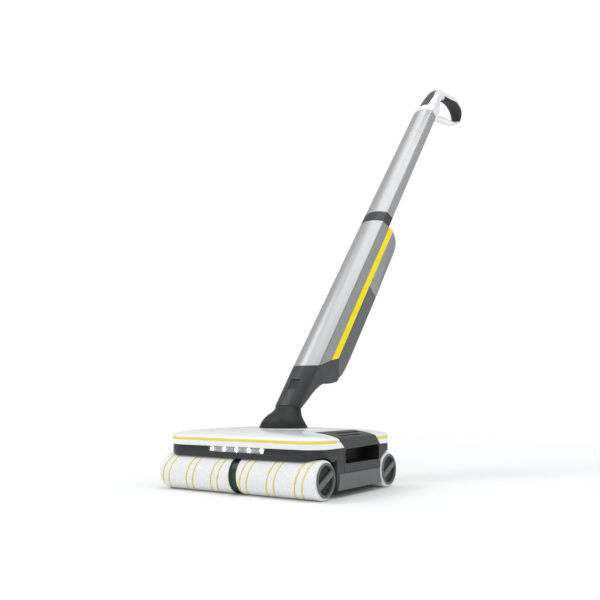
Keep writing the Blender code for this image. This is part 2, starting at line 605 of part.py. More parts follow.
FOOT_SECTIONS = (               # up the stick: (height, half width, back, corner)
    (FOOT_LOW, 0.0243, 0.0145, 0.0125), (0.0773, 0.0245, 0.0161, 0.0115), (0.0920, 0.0249, 0.0189, 0.0095),
    (0.1050, 0.0252, 0.0208, 0.0080), (0.1175, 0.0255, 0.0238, 0.0070), (0.1320, 0.0258, 0.0290, 0.0060),
    (0.1445, 0.0260, 0.0360, 0.0050), (0.1542, 0.0262, 0.0462, 0.0045), (0.1642, 0.0263, 0.0567, 0.0045),
    (0.1737, 0.0264, 0.0649, 0.0045), (0.1832, 0.0264, 0.0702, 0.0045), (0.2200, 0.0264, 0.0740, 0.0045))


def build_foot():
    """Black foot with a bowed shield in front."""
    rings = []
    for up, half, back, corner in FOOT_SECTIONS:
        section = rounded_rectangle(half, 0.0006, back, corner, 3, 0.0008)
        rings.append(sloped(section, up, BAND_SLOPE if up == FOOT_LOW else 0.0))
    made = piece("stick_foot", loft(rings), CHARCOAL, STICK)
    shield = [sloped(bulged(half, 0.0100, 0.0024, 0.0010), up, BAND_SLOPE if up == FOOT_LOW else 0.0)
              for up, half in ((FOOT_LOW, 0.0254), (0.1610, 0.0274), (0.1800, 0.0276))]
    join(made, "shield", loft(shield), STICK)
    seam = (0.2133 - SEAM_LOW[1]) / (SEAM_LOW[0] - FOOT_LINE[-1][0])
    above = list(FOOT_LINE)
    above += [(0.0900, 0.2133 - seam * (0.0900 - FOOT_LINE[-1][0])), (0.0900, 0.3), (-0.0200, 0.3)]
    cut(made, "body_line", prism(above, "X", -0.1, 0.1), STICK)
    inside = [(0.0010, 0.0950), (0.0100, 0.0950), (0.0160, 0.1100), (0.0200, 0.1250), (0.0270, 0.1400),
              (0.0400, 0.1560), (0.0520, 0.1700), (0.0560, 0.1850), (0.0400, 0.2080), (0.0400, 0.2400),
              (-0.0040, 0.2400)]
    cut(made, "inside", prism(inside, "X", -0.0222, 0.0222), STICK)
    cut(made, "swivel_socket", spindle(0.0058, -0.0300, 0.0119), STICK)
    cut(made, "badge", prism(rounded_rectangle(0.0088, 0.0952, 0.1180, 0.0015), "Y", -0.0200, -0.0082), STICK)


def build_body():
    front = bulged(BODY_HALF, BODY_BULGE, 0.0016, 0.0008)
    made = piece("body_front", prism(front, "Z", 0.1350, 0.6200), SILVER, STICK)
    room = bulged(BODY_HALF - 0.0020, BODY_BULGE - 0.0016, 0.0100, 0.0008)
    cut(made, "inside", prism(room, "Z", 0.0, 1.0), STICK)
    cut(made, "foot_line", prism(below_foot_line(GAP), "X", -0.1, 0.1), STICK)
    cut(made, "band_line", prism(above_slope(BODY_TOP - GAP), "X", -0.1, 0.1), STICK)

    wall = 0.0018
    step = STRIPE_FROM - GAP
    outer = [(-BODY_HALF, 0.0019), (-BODY_HALF, step), (-0.0244, step), (-0.0244, REAR_FROM - GAP)]
    inner = [(-BODY_HALF + wall, 0.0019), (-BODY_HALF + wall, step - wall), (-0.0244 + wall, step - wall),
             (-0.0244 + wall, REAR_FROM - GAP - wall)]
    half = list(reversed(inner)) + outer
    channel = [(x, y) for x, y in half] + [(-x, y) for x, y in reversed(half)]
    made = piece("body_channel", prism(channel, "Z", 0.1350, 0.5735), SILVER, STICK)
    cut(made, "foot_line", prism(below_foot_line(GAP), "X", -0.1, 0.1), STICK)
    cut(made, "band_line", prism(above_slope(BODY_TOP - GAP), "X", -0.1, 0.1), STICK)

    stripe = [(STRIPE_FROM, 0.1800), (STRIPE_TO, 0.1800), (STRIPE_TO, 0.5812), (STRIPE_FROM, 0.5735)]
    for side, sign in SIDES:
        made = piece("stripe_" + side, prism(stripe, "X", sign * 0.0247, sign * 0.0267), YELLOW, STICK)
        cut(made, "foot_line", prism(below_foot_line(GAP), "X", -0.1, 0.1), STICK)

    outline = [(REAR_FROM, TANK_TOP + 2 * GAP), (0.0785, TANK_TOP + 2 * GAP), (0.0778, 0.5450), (0.0765, 0.5560),
               (0.0720, 0.5690), (0.0650, 0.5770), (0.0550, 0.5805), (REAR_FROM, 0.5825)]
    made = piece("rear_cover", prism(outline, "X", -BODY_HALF, BODY_HALF), SILVER, STICK)
    round_edges(made, 0.0040, 2, 60.0)
    hollow = [(REAR_FROM - 0.002, TANK_TOP + 0.0030), (0.0760, TANK_TOP + 0.0030), (0.0752, 0.5450),
              (0.0690, 0.5640), (0.0620, 0.5720), (REAR_FROM - 0.002, 0.5780)]
    cut(made, "inside", prism(hollow, "X", -0.0245, 0.0245), STICK)
    cut(made, "latch_window", block((-0.0084, 0.0084), (0.0740, 0.0850), (0.4216, 0.4334)), STICK)


def build_inner_stick():
    """What the body holds: the battery pack, the electronics and the water pump."""
    cells = []
    for row in range(4):
        cells += [(0.0003 + 0.0093 * sin(pi * (i + 0.5) / 4), row * 4 + i) for i in range(4)]
    half = [(0.0120 + reach, 0.0045 + 0.0088 * (index + 0.5) / 4) for reach, index in cells]
    outline = half + [(-x, y) for x, y in reversed(half)]
    piece("battery_pack", prism(outline, "Z", 0.2300, 0.3850), WRAP, STICK)
    made = piece("control_board", block((-0.0200, 0.0200), (0.0120, 0.0136), (0.4100, 0.5300)), BOARD, STICK)
    for i, (x, up, size, height) in enumerate(((-0.010, 0.430, 0.006, 0.010), (0.008, 0.435, 0.007, 0.014),
                                               (-0.006, 0.465, 0.009, 0.004), (0.009, 0.480, 0.005, 0.012),
                                               (-0.008, 0.510, 0.006, 0.008))):
        chip = block((x - size, x + size), (0.0130, 0.0136 + height), (up - size, up + size))
        join(made, "chip_%d" % i, chip, STICK)
    made = piece("water_pump", rod("Z", (0.0, 0.0105), 0.0072, 0.1220, 0.1500, 20), GREY, STICK)
    join(made, "head", block((-0.0105, 0.0105), (0.0030, 0.0230), (0.1490, 0.1620)), STICK)


# ---------------------------------------------------------------- clean water tank
FILLER_UP = 0.3750
TANK_CAP = Frame("tank_cap", "stick", (0.0, 0.0800, FILLER_UP + 0.0165))


def build_tank():
    outline = [(REAR_FROM, 0.2138), (SEAM_LOW[0] + 0.0004, SEAM_LOW[1]), (0.0715, 0.1905), (0.0745, 0.2000),
               (0.0765, 0.2120), (0.0775, 0.2270), (0.0782, 0.2500), (0.0785, 0.3200), (0.0787, TANK_TOP),
               (REAR_FROM, TANK_TOP)]
    made = piece("clean_tank", prism(outline, "X", -BODY_HALF, BODY_HALF), TANK_GREY, STICK)
    round_edges(made, 0.0040, 2, 60.0)
    inside = [(0.0462, 0.2160), (0.0668, 0.1885), (0.0710, 0.1990), (0.0745, 0.2140), (0.0760, 0.2500),
              (0.0763, 0.4070), (0.0462, 0.4070)]
    cut(made, "inside", prism(inside, "X", -0.0243, 0.0243), STICK)
    cut(made, "filler", rod("Y", (0.0, FILLER_UP), 0.0105, 0.0600, 0.1000, 24), STICK)
    profile = [(0.0745, 0.0080), (0.0755, 0.0092), (0.0791, 0.0101), (0.0791, 0.0128), (0.0808, 0.0128),
               (0.0814, 0.0120)]
    cap = piece("tank_cap", turned(profile, "Y", (0.0, FILLER_UP), 20), RUBBER, TANK_CAP)
    join(cap, "tab", block((-0.0060, 0.0060), (0.0792, 0.0808), (FILLER_UP, FILLER_UP + 0.0173)), TANK_CAP)
    piece("tank_latch", block((-0.0080, 0.0080), (0.0735, 0.0792), (0.4220, 0.4330)), BLACK, STICK)


# ---------------------------------------------------------------- coupling, upper tube and handle
def build_upper():
    ring_outer = bulged(BODY_HALF + 0.0002, BODY_BULGE + 0.0002, TUBE_DEPTH, 0.0030)
    ring_inner = bulged(BODY_HALF - 0.0045, BODY_BULGE - 0.0045, TUBE_DEPTH - 0.0045, 0.0030)
    low, high = BODY_TOP + 0.0001, TUBE_LOW - GAP
    piece("coupling_ring", loft([sloped(ring_outer, low), sloped(ring_outer, high), sloped(ring_inner, high),
                                 sloped(ring_inner, low)], True), BLACK, STICK)
    wall = 0.0012
    ends = ((TUBE_HALF_LOW, TUBE_LOW, BAND_SLOPE, 0.0), (TUBE_HALF_TOP, TUBE_TOP, TOP_SLOPE, 0.0),
            (TUBE_HALF_TOP, TUBE_TOP, TOP_SLOPE, wall), (TUBE_HALF_LOW, TUBE_LOW, BAND_SLOPE, wall))
    rings = [sloped(bulged(half - thin, BODY_BULGE - thin, TUBE_DEPTH - thin, 0.0030), level, slope)
             for half, level, slope, thin in ends]
    piece("upper_tube", loft(rings, True), SILVER, STICK)


def level_point(run, rise):
    """A point of the handle drawn level, as it is when the stick leans at rest, in stick (y, z)."""
    return (cos(LEAN) * run - sin(LEAN) * rise, sin(LEAN) * run + cos(LEAN) * rise)


def level_loop(points, steps=2):
    return [level_point(run, rise) for run, rise in smooth_loop(points, steps)]


LOOP_HALF = 0.0145
LOOP_SLICES = ((-0.0145, 0.0100), (-0.0125, 0.0040), (-0.0060, 0.0001), (0.0060, 0.0001), (0.0125, 0.0040),
               (0.0145, 0.0100))            # across the loop, and how far its outside is rounded off there
OPENING_SLICES = ((-0.0300, 0.0120), (-0.0145, 0.0120), (-0.0122, 0.0050), (-0.0060, 0.0006), (0.0060, 0.0006),
                  (0.0122, 0.0050), (0.0145, 0.0120), (0.0300, 0.0120))
LOOP_OUTSIDE = ((0.683, 0.829), (0.700, 0.846), (0.723, 0.858), (0.752, 0.863), (0.790, 0.868), (0.828, 0.873),
                (0.852, 0.870), (0.869, 0.857), (0.874, 0.840), (0.868, 0.823), (0.856, 0.808), (0.838, 0.799),
                (0.800, 0.789), (0.745, 0.779), (0.702, 0.771), (0.672, 0.775), (0.670, 0.803))
LOOP_OPENING = ((0.706, 0.786), (0.716, 0.807), (0.732, 0.827), (0.758, 0.841), (0.795, 0.846), (0.826, 0.843),
                (0.845, 0.833), (0.850, 0.820), (0.841, 0.8095), (0.800, 0.800), (0.760, 0.794), (0.728, 0.788))
GRIP_ZONE = ((0.792, 0.822), (0.744, 0.847), (0.790, 0.8535), (0.832, 0.8590), (0.856, 0.8520), (0.885, 0.8330),
             (0.900, 0.812), (0.872, 0.812), (0.844, 0.811), (0.815, 0.815))
STEM = (                        # up the stick: (height, half width, front, back)
    (TUBE_TOP + GAP, 0.0248, -0.0090, 0.0262), (1.0180, 0.0242, -0.0084, 0.0290),
    (1.0400, 0.0222, -0.0064, 0.0370), (1.0650, 0.0192, -0.0030, 0.0400), (1.0900, 0.0168, 0.0020, 0.0420),
    (1.1150, 0.0152, 0.0090, 0.0450), (1.1300, 0.0120, 0.0160, 0.0460))
PANEL_SPAN = ((1.0200, 0.0098), (1.0450, 0.0102), (1.0700, 0.0100), (1.0950, 0.0092), (1.1150, 0.0078))
BUTTONS = (("power_button", 1.0820, 0.0060), ("boost_button", 1.0560, 0.0048))


def slab(points, slices, way):
    """A closed level outline as a slab across the stick, grown (way 1) or shrunk (way -1) slice by slice."""
    outline = level_loop(points)
    return loft([[(x, y, up) for y, up in grow_outline(outline, way * amount)] for x, amount in slices])


def stem_at(up):
    """Half width and front of the handle's stem at a height along the stick."""
    for (z0, half0, front0, _), (z1, half1, front1, _) in zip(STEM, STEM[1:]):
        if z0 <= up <= z1:
            share = (up - z0) / (z1 - z0)
            return half0 + (half1 - half0) * share, front0 + (front1 - front0) * share
    return STEM[-1][1], STEM[-1][2]


def panel_rings(grow, proud, depth):
    rings = []
    for i, (up, half) in enumerate(PANEL_SPAN):
        edge = -grow if i == 0 else grow if i == len(PANEL_SPAN) - 1 else 0.0
        front = stem_at(up)[1]
        rings.append([(-half - grow, front - proud, up + edge), (half + grow, front - proud, up + edge),
                      (half + grow, front + depth, up + edge), (-half - grow, front + depth, up + edge)])
    return rings


def build_handle():
    zone = [level_point(*point) for point in GRIP_ZONE]
    loop = piece("handle_loop", slab(LOOP_OUTSIDE, LOOP_SLICES, -1), WHITE, STICK)
    join(loop, "stem", loft([sloped_ring(half, front, back, up) for up, half, front, back in STEM]), STICK)
    cut(loop, "opening", slab(LOOP_OPENING, OPENING_SLICES, 1), STICK)
    cut(loop, "grip_seat", prism(grow_outline(zone, GAP), "X", -0.1, 0.1), STICK)
    cut(loop, "panel_seat", loft(panel_rings(GAP, 0.0200, 0.0023)), STICK)
    grip = piece("handle_grip", slab(LOOP_OUTSIDE, LOOP_SLICES, -1), SOFT_BLACK, STICK)
    cut(grip, "opening", slab(LOOP_OPENING, OPENING_SLICES, 1), STICK)
    keep(grip, "zone", prism(zone, "X", -0.1, 0.1), STICK)
    panel = piece("control_panel", loft(panel_rings(0.0, 0.0003, 0.0020)), CHARCOAL, STICK)
    for name, up, radius in BUTTONS:
        front = stem_at(up)[1]
        for owner, depth in ((panel, 0.0200), (loop, 0.0070)):
            seat = rod("Y", (0.0, up), radius + 0.0004, front - 0.02, front + depth, 20)
            cut(owner, name + "_seat", seat, STICK)
        frame = Frame(name, "stick", (0.0, front, up))
        key = [(front - 0.0011, radius - 0.0008), (front - 0.0006, radius), (front + 0.0045, radius)]
        piece(name, turned(key, "Y", (0.0, up), 20), BLACK, frame)


def grow_outline(points, distance):
    """Move a closed outline outwards along its corner normals."""
    area = sum(a[0] * b[1] - b[0] * a[1] for a, b in zip(points, points[1:] + points[:1]))
    turn = 1.0 if area > 0 else -1.0
    grown = []
    for before, here, after in zip(points[-1:] + points[:-1], points, points[1:] + points[:1]):
        run = Vector((after[0] - before[0], after[1] - before[1])).normalized()
        grown.append((here[0] + run.y * distance * turn, here[1] - run.x * distance * turn))
    return grown


def sloped_ring(half, front, back, up):
    """One section of the handle's stem: bowed in front, rounded behind."""
    slope = TOP_SLOPE * min(1.0, max(0.0, (1.06 - up) / 0.06))
    corner = min(0.0060, half * 0.4)
    section = bulged(half, 0.0, back - front, corner)
    depth = 0.0086
    ring = []
    for x, y in section:
        bow = depth * (x / half) ** 2 if y <= 0.0 else 0.0
        at = front + y + (bow if y <= 0.0 else 0.0)
        ring.append((x, at, up + slope * at))
    return ring


# ---------------------------------------------------------------- the whole machine
build_chassis()
build_top_cover()
build_trim("front_trim", (-0.2, -0.0675))
build_trim("rear_trim", (0.0620, 0.2))
front_bumper = build_bumper("front_bumper", BAND_LOW, (-0.2, PANEL_FRONT - GAP), -AXLE_Y)
rear_bumper = build_bumper("rear_bumper", 0.0490, (PANEL_REAR + GAP, 0.2), AXLE_Y)
cut(rear_bumper, "tail_edge", block((-0.2, 0.2), (AXLE_Y, 0.2), (0.0400, 0.0565)))
build_lamps(front_bumper)
build_neck_well()
build_drive()
build_wiper("front_wiper", -1)
build_wiper("rear_wiper", 1)
build_water_bar()
for side_name, side_sign in SIDES:
    build_side(side_name, side_sign)
    build_drawer(side_name, side_sign)
    for end_name in ("front", "rear"):
        build_roller(end_name, side_name, side_sign)
build_neck()
build_foot()
build_body()
build_inner_stick()
build_tank()
build_upper()
build_handle()
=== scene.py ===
"""Looks of the wet dry floor scrubber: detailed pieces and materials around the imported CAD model."""
import json
from math import cos, pi, radians, sin
import bmesh
import bpy
from mathutils import Matrix, Vector


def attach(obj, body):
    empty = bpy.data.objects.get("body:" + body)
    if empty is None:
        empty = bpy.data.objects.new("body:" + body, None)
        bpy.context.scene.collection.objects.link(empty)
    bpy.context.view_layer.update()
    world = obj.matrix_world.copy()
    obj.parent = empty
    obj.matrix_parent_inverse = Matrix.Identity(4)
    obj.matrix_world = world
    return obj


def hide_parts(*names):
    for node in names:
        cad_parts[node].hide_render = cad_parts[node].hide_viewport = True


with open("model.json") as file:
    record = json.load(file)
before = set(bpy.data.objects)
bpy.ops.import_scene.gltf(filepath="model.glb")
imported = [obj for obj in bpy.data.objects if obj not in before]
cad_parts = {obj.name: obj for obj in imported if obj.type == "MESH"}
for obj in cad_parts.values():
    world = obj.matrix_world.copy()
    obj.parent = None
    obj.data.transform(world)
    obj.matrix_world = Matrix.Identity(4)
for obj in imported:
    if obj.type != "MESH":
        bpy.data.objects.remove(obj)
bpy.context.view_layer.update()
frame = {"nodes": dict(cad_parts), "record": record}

# ---------------------------------------------------------------- the CAD model's driving dimensions
GAP = 0.0003
joints = {joint["name"]: joint for joint in frame["record"]["behaviour"]["joints"]}
AXLE_Z = joints["front_axle_spin"]["pos_m"][2]
HEAD_Y = (joints["front_axle_spin"]["pos_m"][1] + joints["rear_axle_spin"]["pos_m"][1]) / 2
AXLE_Y = joints["rear_axle_spin"]["pos_m"][1] - HEAD_Y
HEAD_HALF_X, HEAD_HALF_Y, HEAD_BOW = 0.1500, 0.1185, 0.0020
FRONT_CORNER, REAR_CORNER = 0.0340, 0.0260
ROLLER_RADIUS, ROLLER_ROOM, ROLLER_OUTER_END = 0.0290, 0.0314, 0.1505
DECK_TOP, COVER_LOW, BAND_LOW = 0.0717, 0.0720, 0.0535
LEAN = radians(39.59)
STICK_Y, STICK_Z = -0.0215, 0.0816
PIVOT = (0.0, 0.0200, 0.0229)
BALL_RADIUS, BALL_WIDEN = 0.0400, 1.085
BAND_SLOPE, TOP_SLOPE = 0.45, 0.30
BODY_HALF, BODY_BULGE, TUBE_DEPTH = 0.0265, 0.0095, 0.0265
STRIPE_FROM, STRIPE_TO, REAR_FROM = 0.0272, 0.0436, 0.0442
BODY_TOP, TUBE_LOW, TUBE_TOP = 0.5612, 0.5915, 0.9985
TUBE_HALF_LOW, TUBE_HALF_TOP = 0.0262, 0.0248
TANK_TOP, FILLER_UP, FOOT_LOW = 0.4100, 0.3750, 0.0645
SIDES = (("left", -1), ("right", 1))

HEAD_SPACE = Matrix.Translation((0.0, HEAD_Y, 0.0))
STICK_SPACE = Matrix.Translation((0.0, HEAD_Y + STICK_Y, STICK_Z)) @ Matrix.Rotation(-LEAN, 4, "X")


# ---------------------------------------------------------------- materials
class Shader:
    """A Principled material with small helpers for procedural colour, roughness and relief."""

    def __init__(self, name, colour, roughness, metallic=0.0, coat=0.0, sheen=0.0, transmission=0.0,
                 emission=0.0,
                 specular=0.5):
        self.material = bpy.data.materials.new(name)
        self.material.use_nodes = True
        self.nodes = self.material.node_tree.nodes
        self.links = self.material.node_tree.links
        self.shader = self.nodes["Principled BSDF"]
        put = self.shader.inputs
        put["Base Color"].default_value = (*colour, 1.0)
        put["Roughness"].default_value = roughness
        put["Metallic"].default_value = metallic
        put["Coat Weight"].default_value = coat
        put["Coat Roughness"].default_value = 0.06
        put["Specular IOR Level"].default_value = specular
        put["Sheen Weight"].default_value = sheen
        put["Transmission Weight"].default_value = transmission
        if emission:
            put["Emission Color"].default_value = (1.0, 1.0, 1.0, 1.0)
            put["Emission Strength"].default_value = emission
        self.colour, self.roughness = colour, roughness
        self.height = None

    def node(self, kind, **values):
        made = self.nodes.new(kind)
        for key, value in values.items():
            if key in made.inputs:
                made.inputs[key].default_value = value
            else:
                setattr(made, key, value)
        return made

    def coords(self, scale=(1.0, 1.0, 1.0)):
        made = self.node("ShaderNodeMapping")
        made.inputs["Scale"].default_value = scale
        self.links.new(self.node("ShaderNodeTexCoord").outputs["Object"], made.inputs["Vector"])
        return made.outputs["Vector"]

    def noise(self, scale, stretch=(1.0, 1.0, 1.0), detail=4.0, roughness=0.55):
        made = self.node("ShaderNodeTexNoise", Scale=scale, Detail=detail, Roughness=roughness)
        self.links.new(self.coords(stretch), made.inputs["Vector"])
        return made.outputs["Fac"]

    def spread(self, value, low, high, start=0.3, stop=0.7):
        made = self.nodes.new("ShaderNodeMapRange")
        for i, number in ((1, start), (2, stop), (3, low), (4, high)):
            made.inputs[i].default_value = number
        self.links.new(value, made.inputs[0])
        return made.outputs[0]

    def mix(self, share, dark, light):
        """A colour between two ends, each a colour or another node's output, driven by a 0 to 1 value."""
        made = self.node("ShaderNodeMix", data_type="RGBA")
        for end, value in zip([s for s in made.inputs if s.type == "RGBA"], (dark, light)):
            if isinstance(value, tuple):
                end.default_value = (*value, 1.0)
            else:
                self.links.new(value, end)
        self.links.new(share, made.inputs[0])
        return [s for s in made.outputs if s.type == "RGBA"][0]

    def vary_colour(self, amount, scale=40.0, stretch=(1.0, 1.0, 1.0)):
        dark = tuple(c * (1 - amount) for c in self.colour)
        light = tuple(min(1.0, c * (1 + amount)) for c in self.colour)
        colour = self.mix(self.spread(self.noise(scale, stretch), 0.0, 1.0), dark, light)
        self.links.new(colour, self.shader.inputs["Base Color"])
        return self

    def vary_roughness(self, amount, scale=90.0, stretch=(1.0, 1.0, 1.0)):
        value = self.spread(self.noise(scale, stretch), self.roughness - amount, self.roughness + amount)
        self.links.new(value, self.shader.inputs["Roughness"])
        return self

    def relief(self, scale, depth, stretch=(1.0, 1.0, 1.0), detail=3.0):
        """Adds a bump layer of the given depth in metres."""
        bump = self.node("ShaderNodeBump", Strength=1.0, Distance=depth)
        self.links.new(self.noise(scale, stretch, detail), bump.inputs["Height"])
        if self.height is not None:
            self.links.new(self.height, bump.inputs["Normal"])
        self.height = bump.outputs["Normal"]
        self.links.new(self.height, self.shader.inputs["Normal"])
        return self


def grained(name, colour, roughness, grain=0.00006, scale=1500.0, amount=0.10, specular=0.35):
    """Moulded plastic with a fine spark-eroded grain and slightly uneven gloss."""
    return Shader(name, colour, roughness, specular=specular).vary_colour(amount, 60).vary_roughness(0.06,
                                                                                                     140) \
        .relief(scale, grain).material


def glossy(name, colour, roughness, coat=0.5):
    """Polished moulded plastic: a clear top layer over a faint orange peel."""
    return Shader(name, colour, roughness, coat=coat).vary_colour(0.02, 18).vary_roughness(0.04, 60) \
        .relief(220, 0.00002).material


def brushed(name, colour, roughness, metallic=0.75):
    """Satin metal finish drawn along the stick."""
    along = (1.0, 1.0, 0.02)
    return Shader(name, colour, roughness, metallic).vary_colour(0.05, 700, along).vary_roughness(0.05, 600,
                                                                                                  along) \
        .relief(1500, 0.00001, along).material


WHITE = glossy("white_gloss", (0.85, 0.86, 0.88), 0.20)
YELLOW = Shader("yellow_gloss", (0.92, 0.76, 0.0), 0.42, specular=0.25).vary_colour(0.03, 25) \
    .vary_roughness(0.05, 80).relief(400, 0.00002).material
BLACK = grained("black_plastic", (0.024, 0.026, 0.027), 0.40)
CHARCOAL = grained("charcoal_plastic", (0.030, 0.032, 0.033), 0.42)
BELLY = grained("foot_charcoal", (0.050, 0.052, 0.053), 0.45)
SIDE_GREY = grained("side_charcoal", (0.034, 0.036, 0.037), 0.42)
STRIP_GREY = Shader("strip_grey", (0.115, 0.122, 0.122), 0.48).vary_colour(0.30, 900).vary_roughness(0.08,
                                                                                                     300) \
    .relief(1200, 0.00010).material
TANK_GREY = Shader("tank_smoke", (0.100, 0.103, 0.106), 0.34, coat=0.2).vary_colour(0.06, 30) \
    .vary_roughness(0.04, 80).relief(500, 0.00002).material
SILVER = brushed("silver_satin", (0.43, 0.433, 0.437), 0.38, 0.70)
# Darker copy of the stick's silver for its side faces: painted shade, so the sides read darker than the front;
# the front faces keep the brighter silver.
SILVER_SHADED_SIDE = brushed("silver_side_painted_shade", (0.34, 0.343, 0.35), 0.42, 0.60)
STEEL = brushed("ground_steel", (0.58, 0.58, 0.60), 0.25, 1.0)
RUBBER = grained("rubber", (0.018, 0.018, 0.020), 0.72, 0.00008, 900)
NECK_BLACK = Shader("neck_rubber", (0.014, 0.015, 0.014), 0.48, specular=0.25).vary_colour(0.15, 35) \
    .vary_roughness(0.07, 90).relief(1100, 0.00008).material
GRIP_BLACK = grained("soft_grip", (0.020, 0.021, 0.022), 0.60, 0.00012, 1100)
# Near black: the foot badge's own colour, and painted shade inside the tank cover's hand opening and the roller
# caps' recesses.
BLACK_AND_HOLE_SHADE = grained("deep_black_and_hole_shade", (0.010, 0.010, 0.011), 0.55)
GREEN = glossy("green_core", (0.035, 0.17, 0.045), 0.40, 0.1)
NYLON = grained("nylon", (0.72, 0.71, 0.67), 0.45)
BOARD = Shader("circuit_board", (0.03, 0.15, 0.06), 0.45).vary_colour(0.5, 260, (1.0, 1.0, 0.2)) \
    .relief(800, 0.0001).material
WRAP = glossy("battery_wrap", (0.05, 0.11, 0.28), 0.35, 0.2)
CAP_GREY = Shader("cap_grey", (0.115, 0.12, 0.12), 0.42).vary_colour(0.12, 500).vary_roughness(0.06, 200) \
    .relief(1300, 0.00006).material
LENS = Shader("clear_lens", (0.93, 0.95, 0.97), 0.06, transmission=0.9).vary_roughness(0.03, 400) \
    .relief(700, 0.00003).material
REFLECTOR = Shader("lamp_tray", (0.56, 0.57, 0.59), 0.30, 0.4).vary_colour(0.15, 300).vary_roughness(0.08,
                                                                                                     300).material
LED = Shader("lamp_white", (1.0, 1.0, 1.0), 0.3, emission=9.0).vary_colour(0.02, 900).material

THREAD_PITCH = 0.0500
THREADS = (0.0340, 0.0470)      # where the two yellow threads lie in each pitch


def microfibre():
    """White pile with pairs of thin yellow threads wound in a helix, one turn of the pair every pitch."""
    cloth = Shader("microfibre", (0.84, 0.84, 0.84), 0.95, sheen=0.35)
    parts = cloth.node("ShaderNodeSeparateXYZ")
    cloth.links.new(cloth.coords(), parts.inputs[0])

    def maths(operation, a, b=None):
        made = cloth.node("ShaderNodeMath", operation=operation)
        for socket, value in zip(made.inputs, (a, b)):
            if value is None:
                continue
            if isinstance(value, (int, float)):
                socket.default_value = value
            else:
                cloth.links.new(value, socket)
        return made.outputs[0]

    turn = maths("ARCTAN2", parts.outputs["Z"], parts.outputs["Y"])
    wobble = maths("MULTIPLY", cloth.spread(cloth.noise(160), -1.0, 1.0), 0.0007)
    along = maths("ADD", maths("SUBTRACT", parts.outputs["X"],
                               maths("MULTIPLY", turn, -THREAD_PITCH / (2 * pi))), wobble)
    phase = maths("MULTIPLY", maths("FRACT", maths("DIVIDE", maths("ADD", along, 1.0), THREAD_PITCH)),
                  THREAD_PITCH)
    first = maths("ABSOLUTE", maths("SUBTRACT", phase, THREADS[0]))
    second = maths("ABSOLUTE", maths("SUBTRACT", phase, THREADS[1]))
    nearest = maths("MINIMUM", first, second)
    thread = cloth.spread(nearest, 1.0, 0.0, 0.0010, 0.0018)
    pile = cloth.spread(cloth.noise(420, detail=6.0), 0.0, 1.0, 0.35, 0.65)
    white = cloth.mix(pile, (0.78, 0.78, 0.79), (0.91, 0.91, 0.91))
    threaded = cloth.mix(maths("MULTIPLY", thread, 0.92), white, (0.70, 0.58, 0.02))
    cloth.links.new(threaded, cloth.shader.inputs["Base Color"])
    return cloth.relief(900, 0.0006, detail=6.0).relief(260, 0.0004).material


CLOTH = microfibre()


# ---------------------------------------------------------------- mesh helpers
def loft(rings, closed=False):
    """Skin rings of equal point counts: capped at both ends, or closed on itself."""
    bm = bmesh.new()
    rows = [[bm.verts.new(point) for point in ring] for ring in rings]
    count = len(rows[0])
    pairs = list(zip(rows, rows[1:])) + ([(rows[-1], rows[0])] if closed else [])
    for low, high in pairs:
        for i in range(count):
            j = (i + 1) % count
            bm.faces.new((low[i], low[j], high[j], high[i]))
    if not closed:
        bm.faces.new(list(reversed(rows[0])))
        bm.faces.new(rows[-1])
    bmesh.ops.recalc_face_normals(bm, faces=bm.faces[:])
    return bm


def on_axis(axis, along, a, b):
    return {"X": (along, a, b), "Y": (a, along, b), "Z": (a, b, along)}[axis]


def circle(radius, segments, centre=(0.0, 0.0)):
    return [(centre[0] + radius * cos(2 * pi * i / segments), centre[1] + radius * sin(2 * pi * i / segments))
            for i in range(segments)]


def arc(centre, radius, start, end, steps):
    turns = [radians(start + (end - start) * i / steps) for i in range(steps + 1)]
    return [(centre[0] + radius * cos(t), centre[1] + radius * sin(t)) for t in turns]


def grow(points, distance):
    """Move a closed outline outwards along its corner normals."""
    area = sum(a[0] * b[1] - b[0] * a[1] for a, b in zip(points, points[1:] + points[:1]))
    way = distance if area > 0 else -distance
    grown = []
    for before, here, after in zip(points[-1:] + points[:-1], points, points[1:] + points[:1]):
        one = Vector((here[0] - before[0], here[1] - before[1]))
        two = Vector((after[0] - here[0], after[1] - here[1]))
        if one.length < 1e-9 or two.length < 1e-9:
            grown.append(here)
            continue
        one.normalize()
        two.normalize()
        normal = Vector((one.y + two.y, -one.x - two.x))
        normal = normal / max(0.6, normal.dot(Vector((one.y, -one.x))))
        grown.append((here[0] + normal.x * way, here[1] + normal.y * way))
    return grown


def soften(points, radius, steps=5):
    """Round an outline's corners with curves tangent to both sides."""
    made = []
    count = len(points)
    for i, here in enumerate(points):
        before, after = Vector(points[i - 1]), Vector(points[(i + 1) % count])
        here = Vector(here)
        a, b = (before - here).normalized(), (after - here).normalized()
        angle = a.angle(b)
        if radius <= 0 or angle > pi - 0.05:
            made.append(tuple(here))
            continue
        cutback = min(radius / max(0.05, sin(angle / 2) / max(1e-6, cos(angle / 2))),
                      0.48 * (before - here).length, 0.48 * (after - here).length)
        start, stop = here + a * cutback, here + b * cutback
        for s in range(steps + 1):
            t = s / steps
            made.append(tuple(start * (1 - t) ** 2 + here * 2 * t * (1 - t) + stop * t ** 2))
    return made


def slab(outline, axis, low, high, edge=0.0006, steps=3):
    """A prism whose two end faces meet the sides in a small rounded edge."""
    low, high = min(low, high), max(low, high)
    rings = [(low + edge * (1 - cos(pi / 2 * i / steps)), edge * (1 - sin(pi / 2 * i / steps)))
             for i in range(steps + 1)]
    rings += [(high - (at - low), inset) for at, inset in reversed(rings)]
    return loft([[on_axis(axis, at, a, b) for a, b in grow(outline, -inset)] for at, inset in rings])


def prism(outline, axis, low, high):
    return loft([[on_axis(axis, at, a, b) for a, b in outline] for at in (low, high)])


def box_outline(x, y):
    return [(x[0], y[0]), (x[1], y[0]), (x[1], y[1]), (x[0], y[1])]


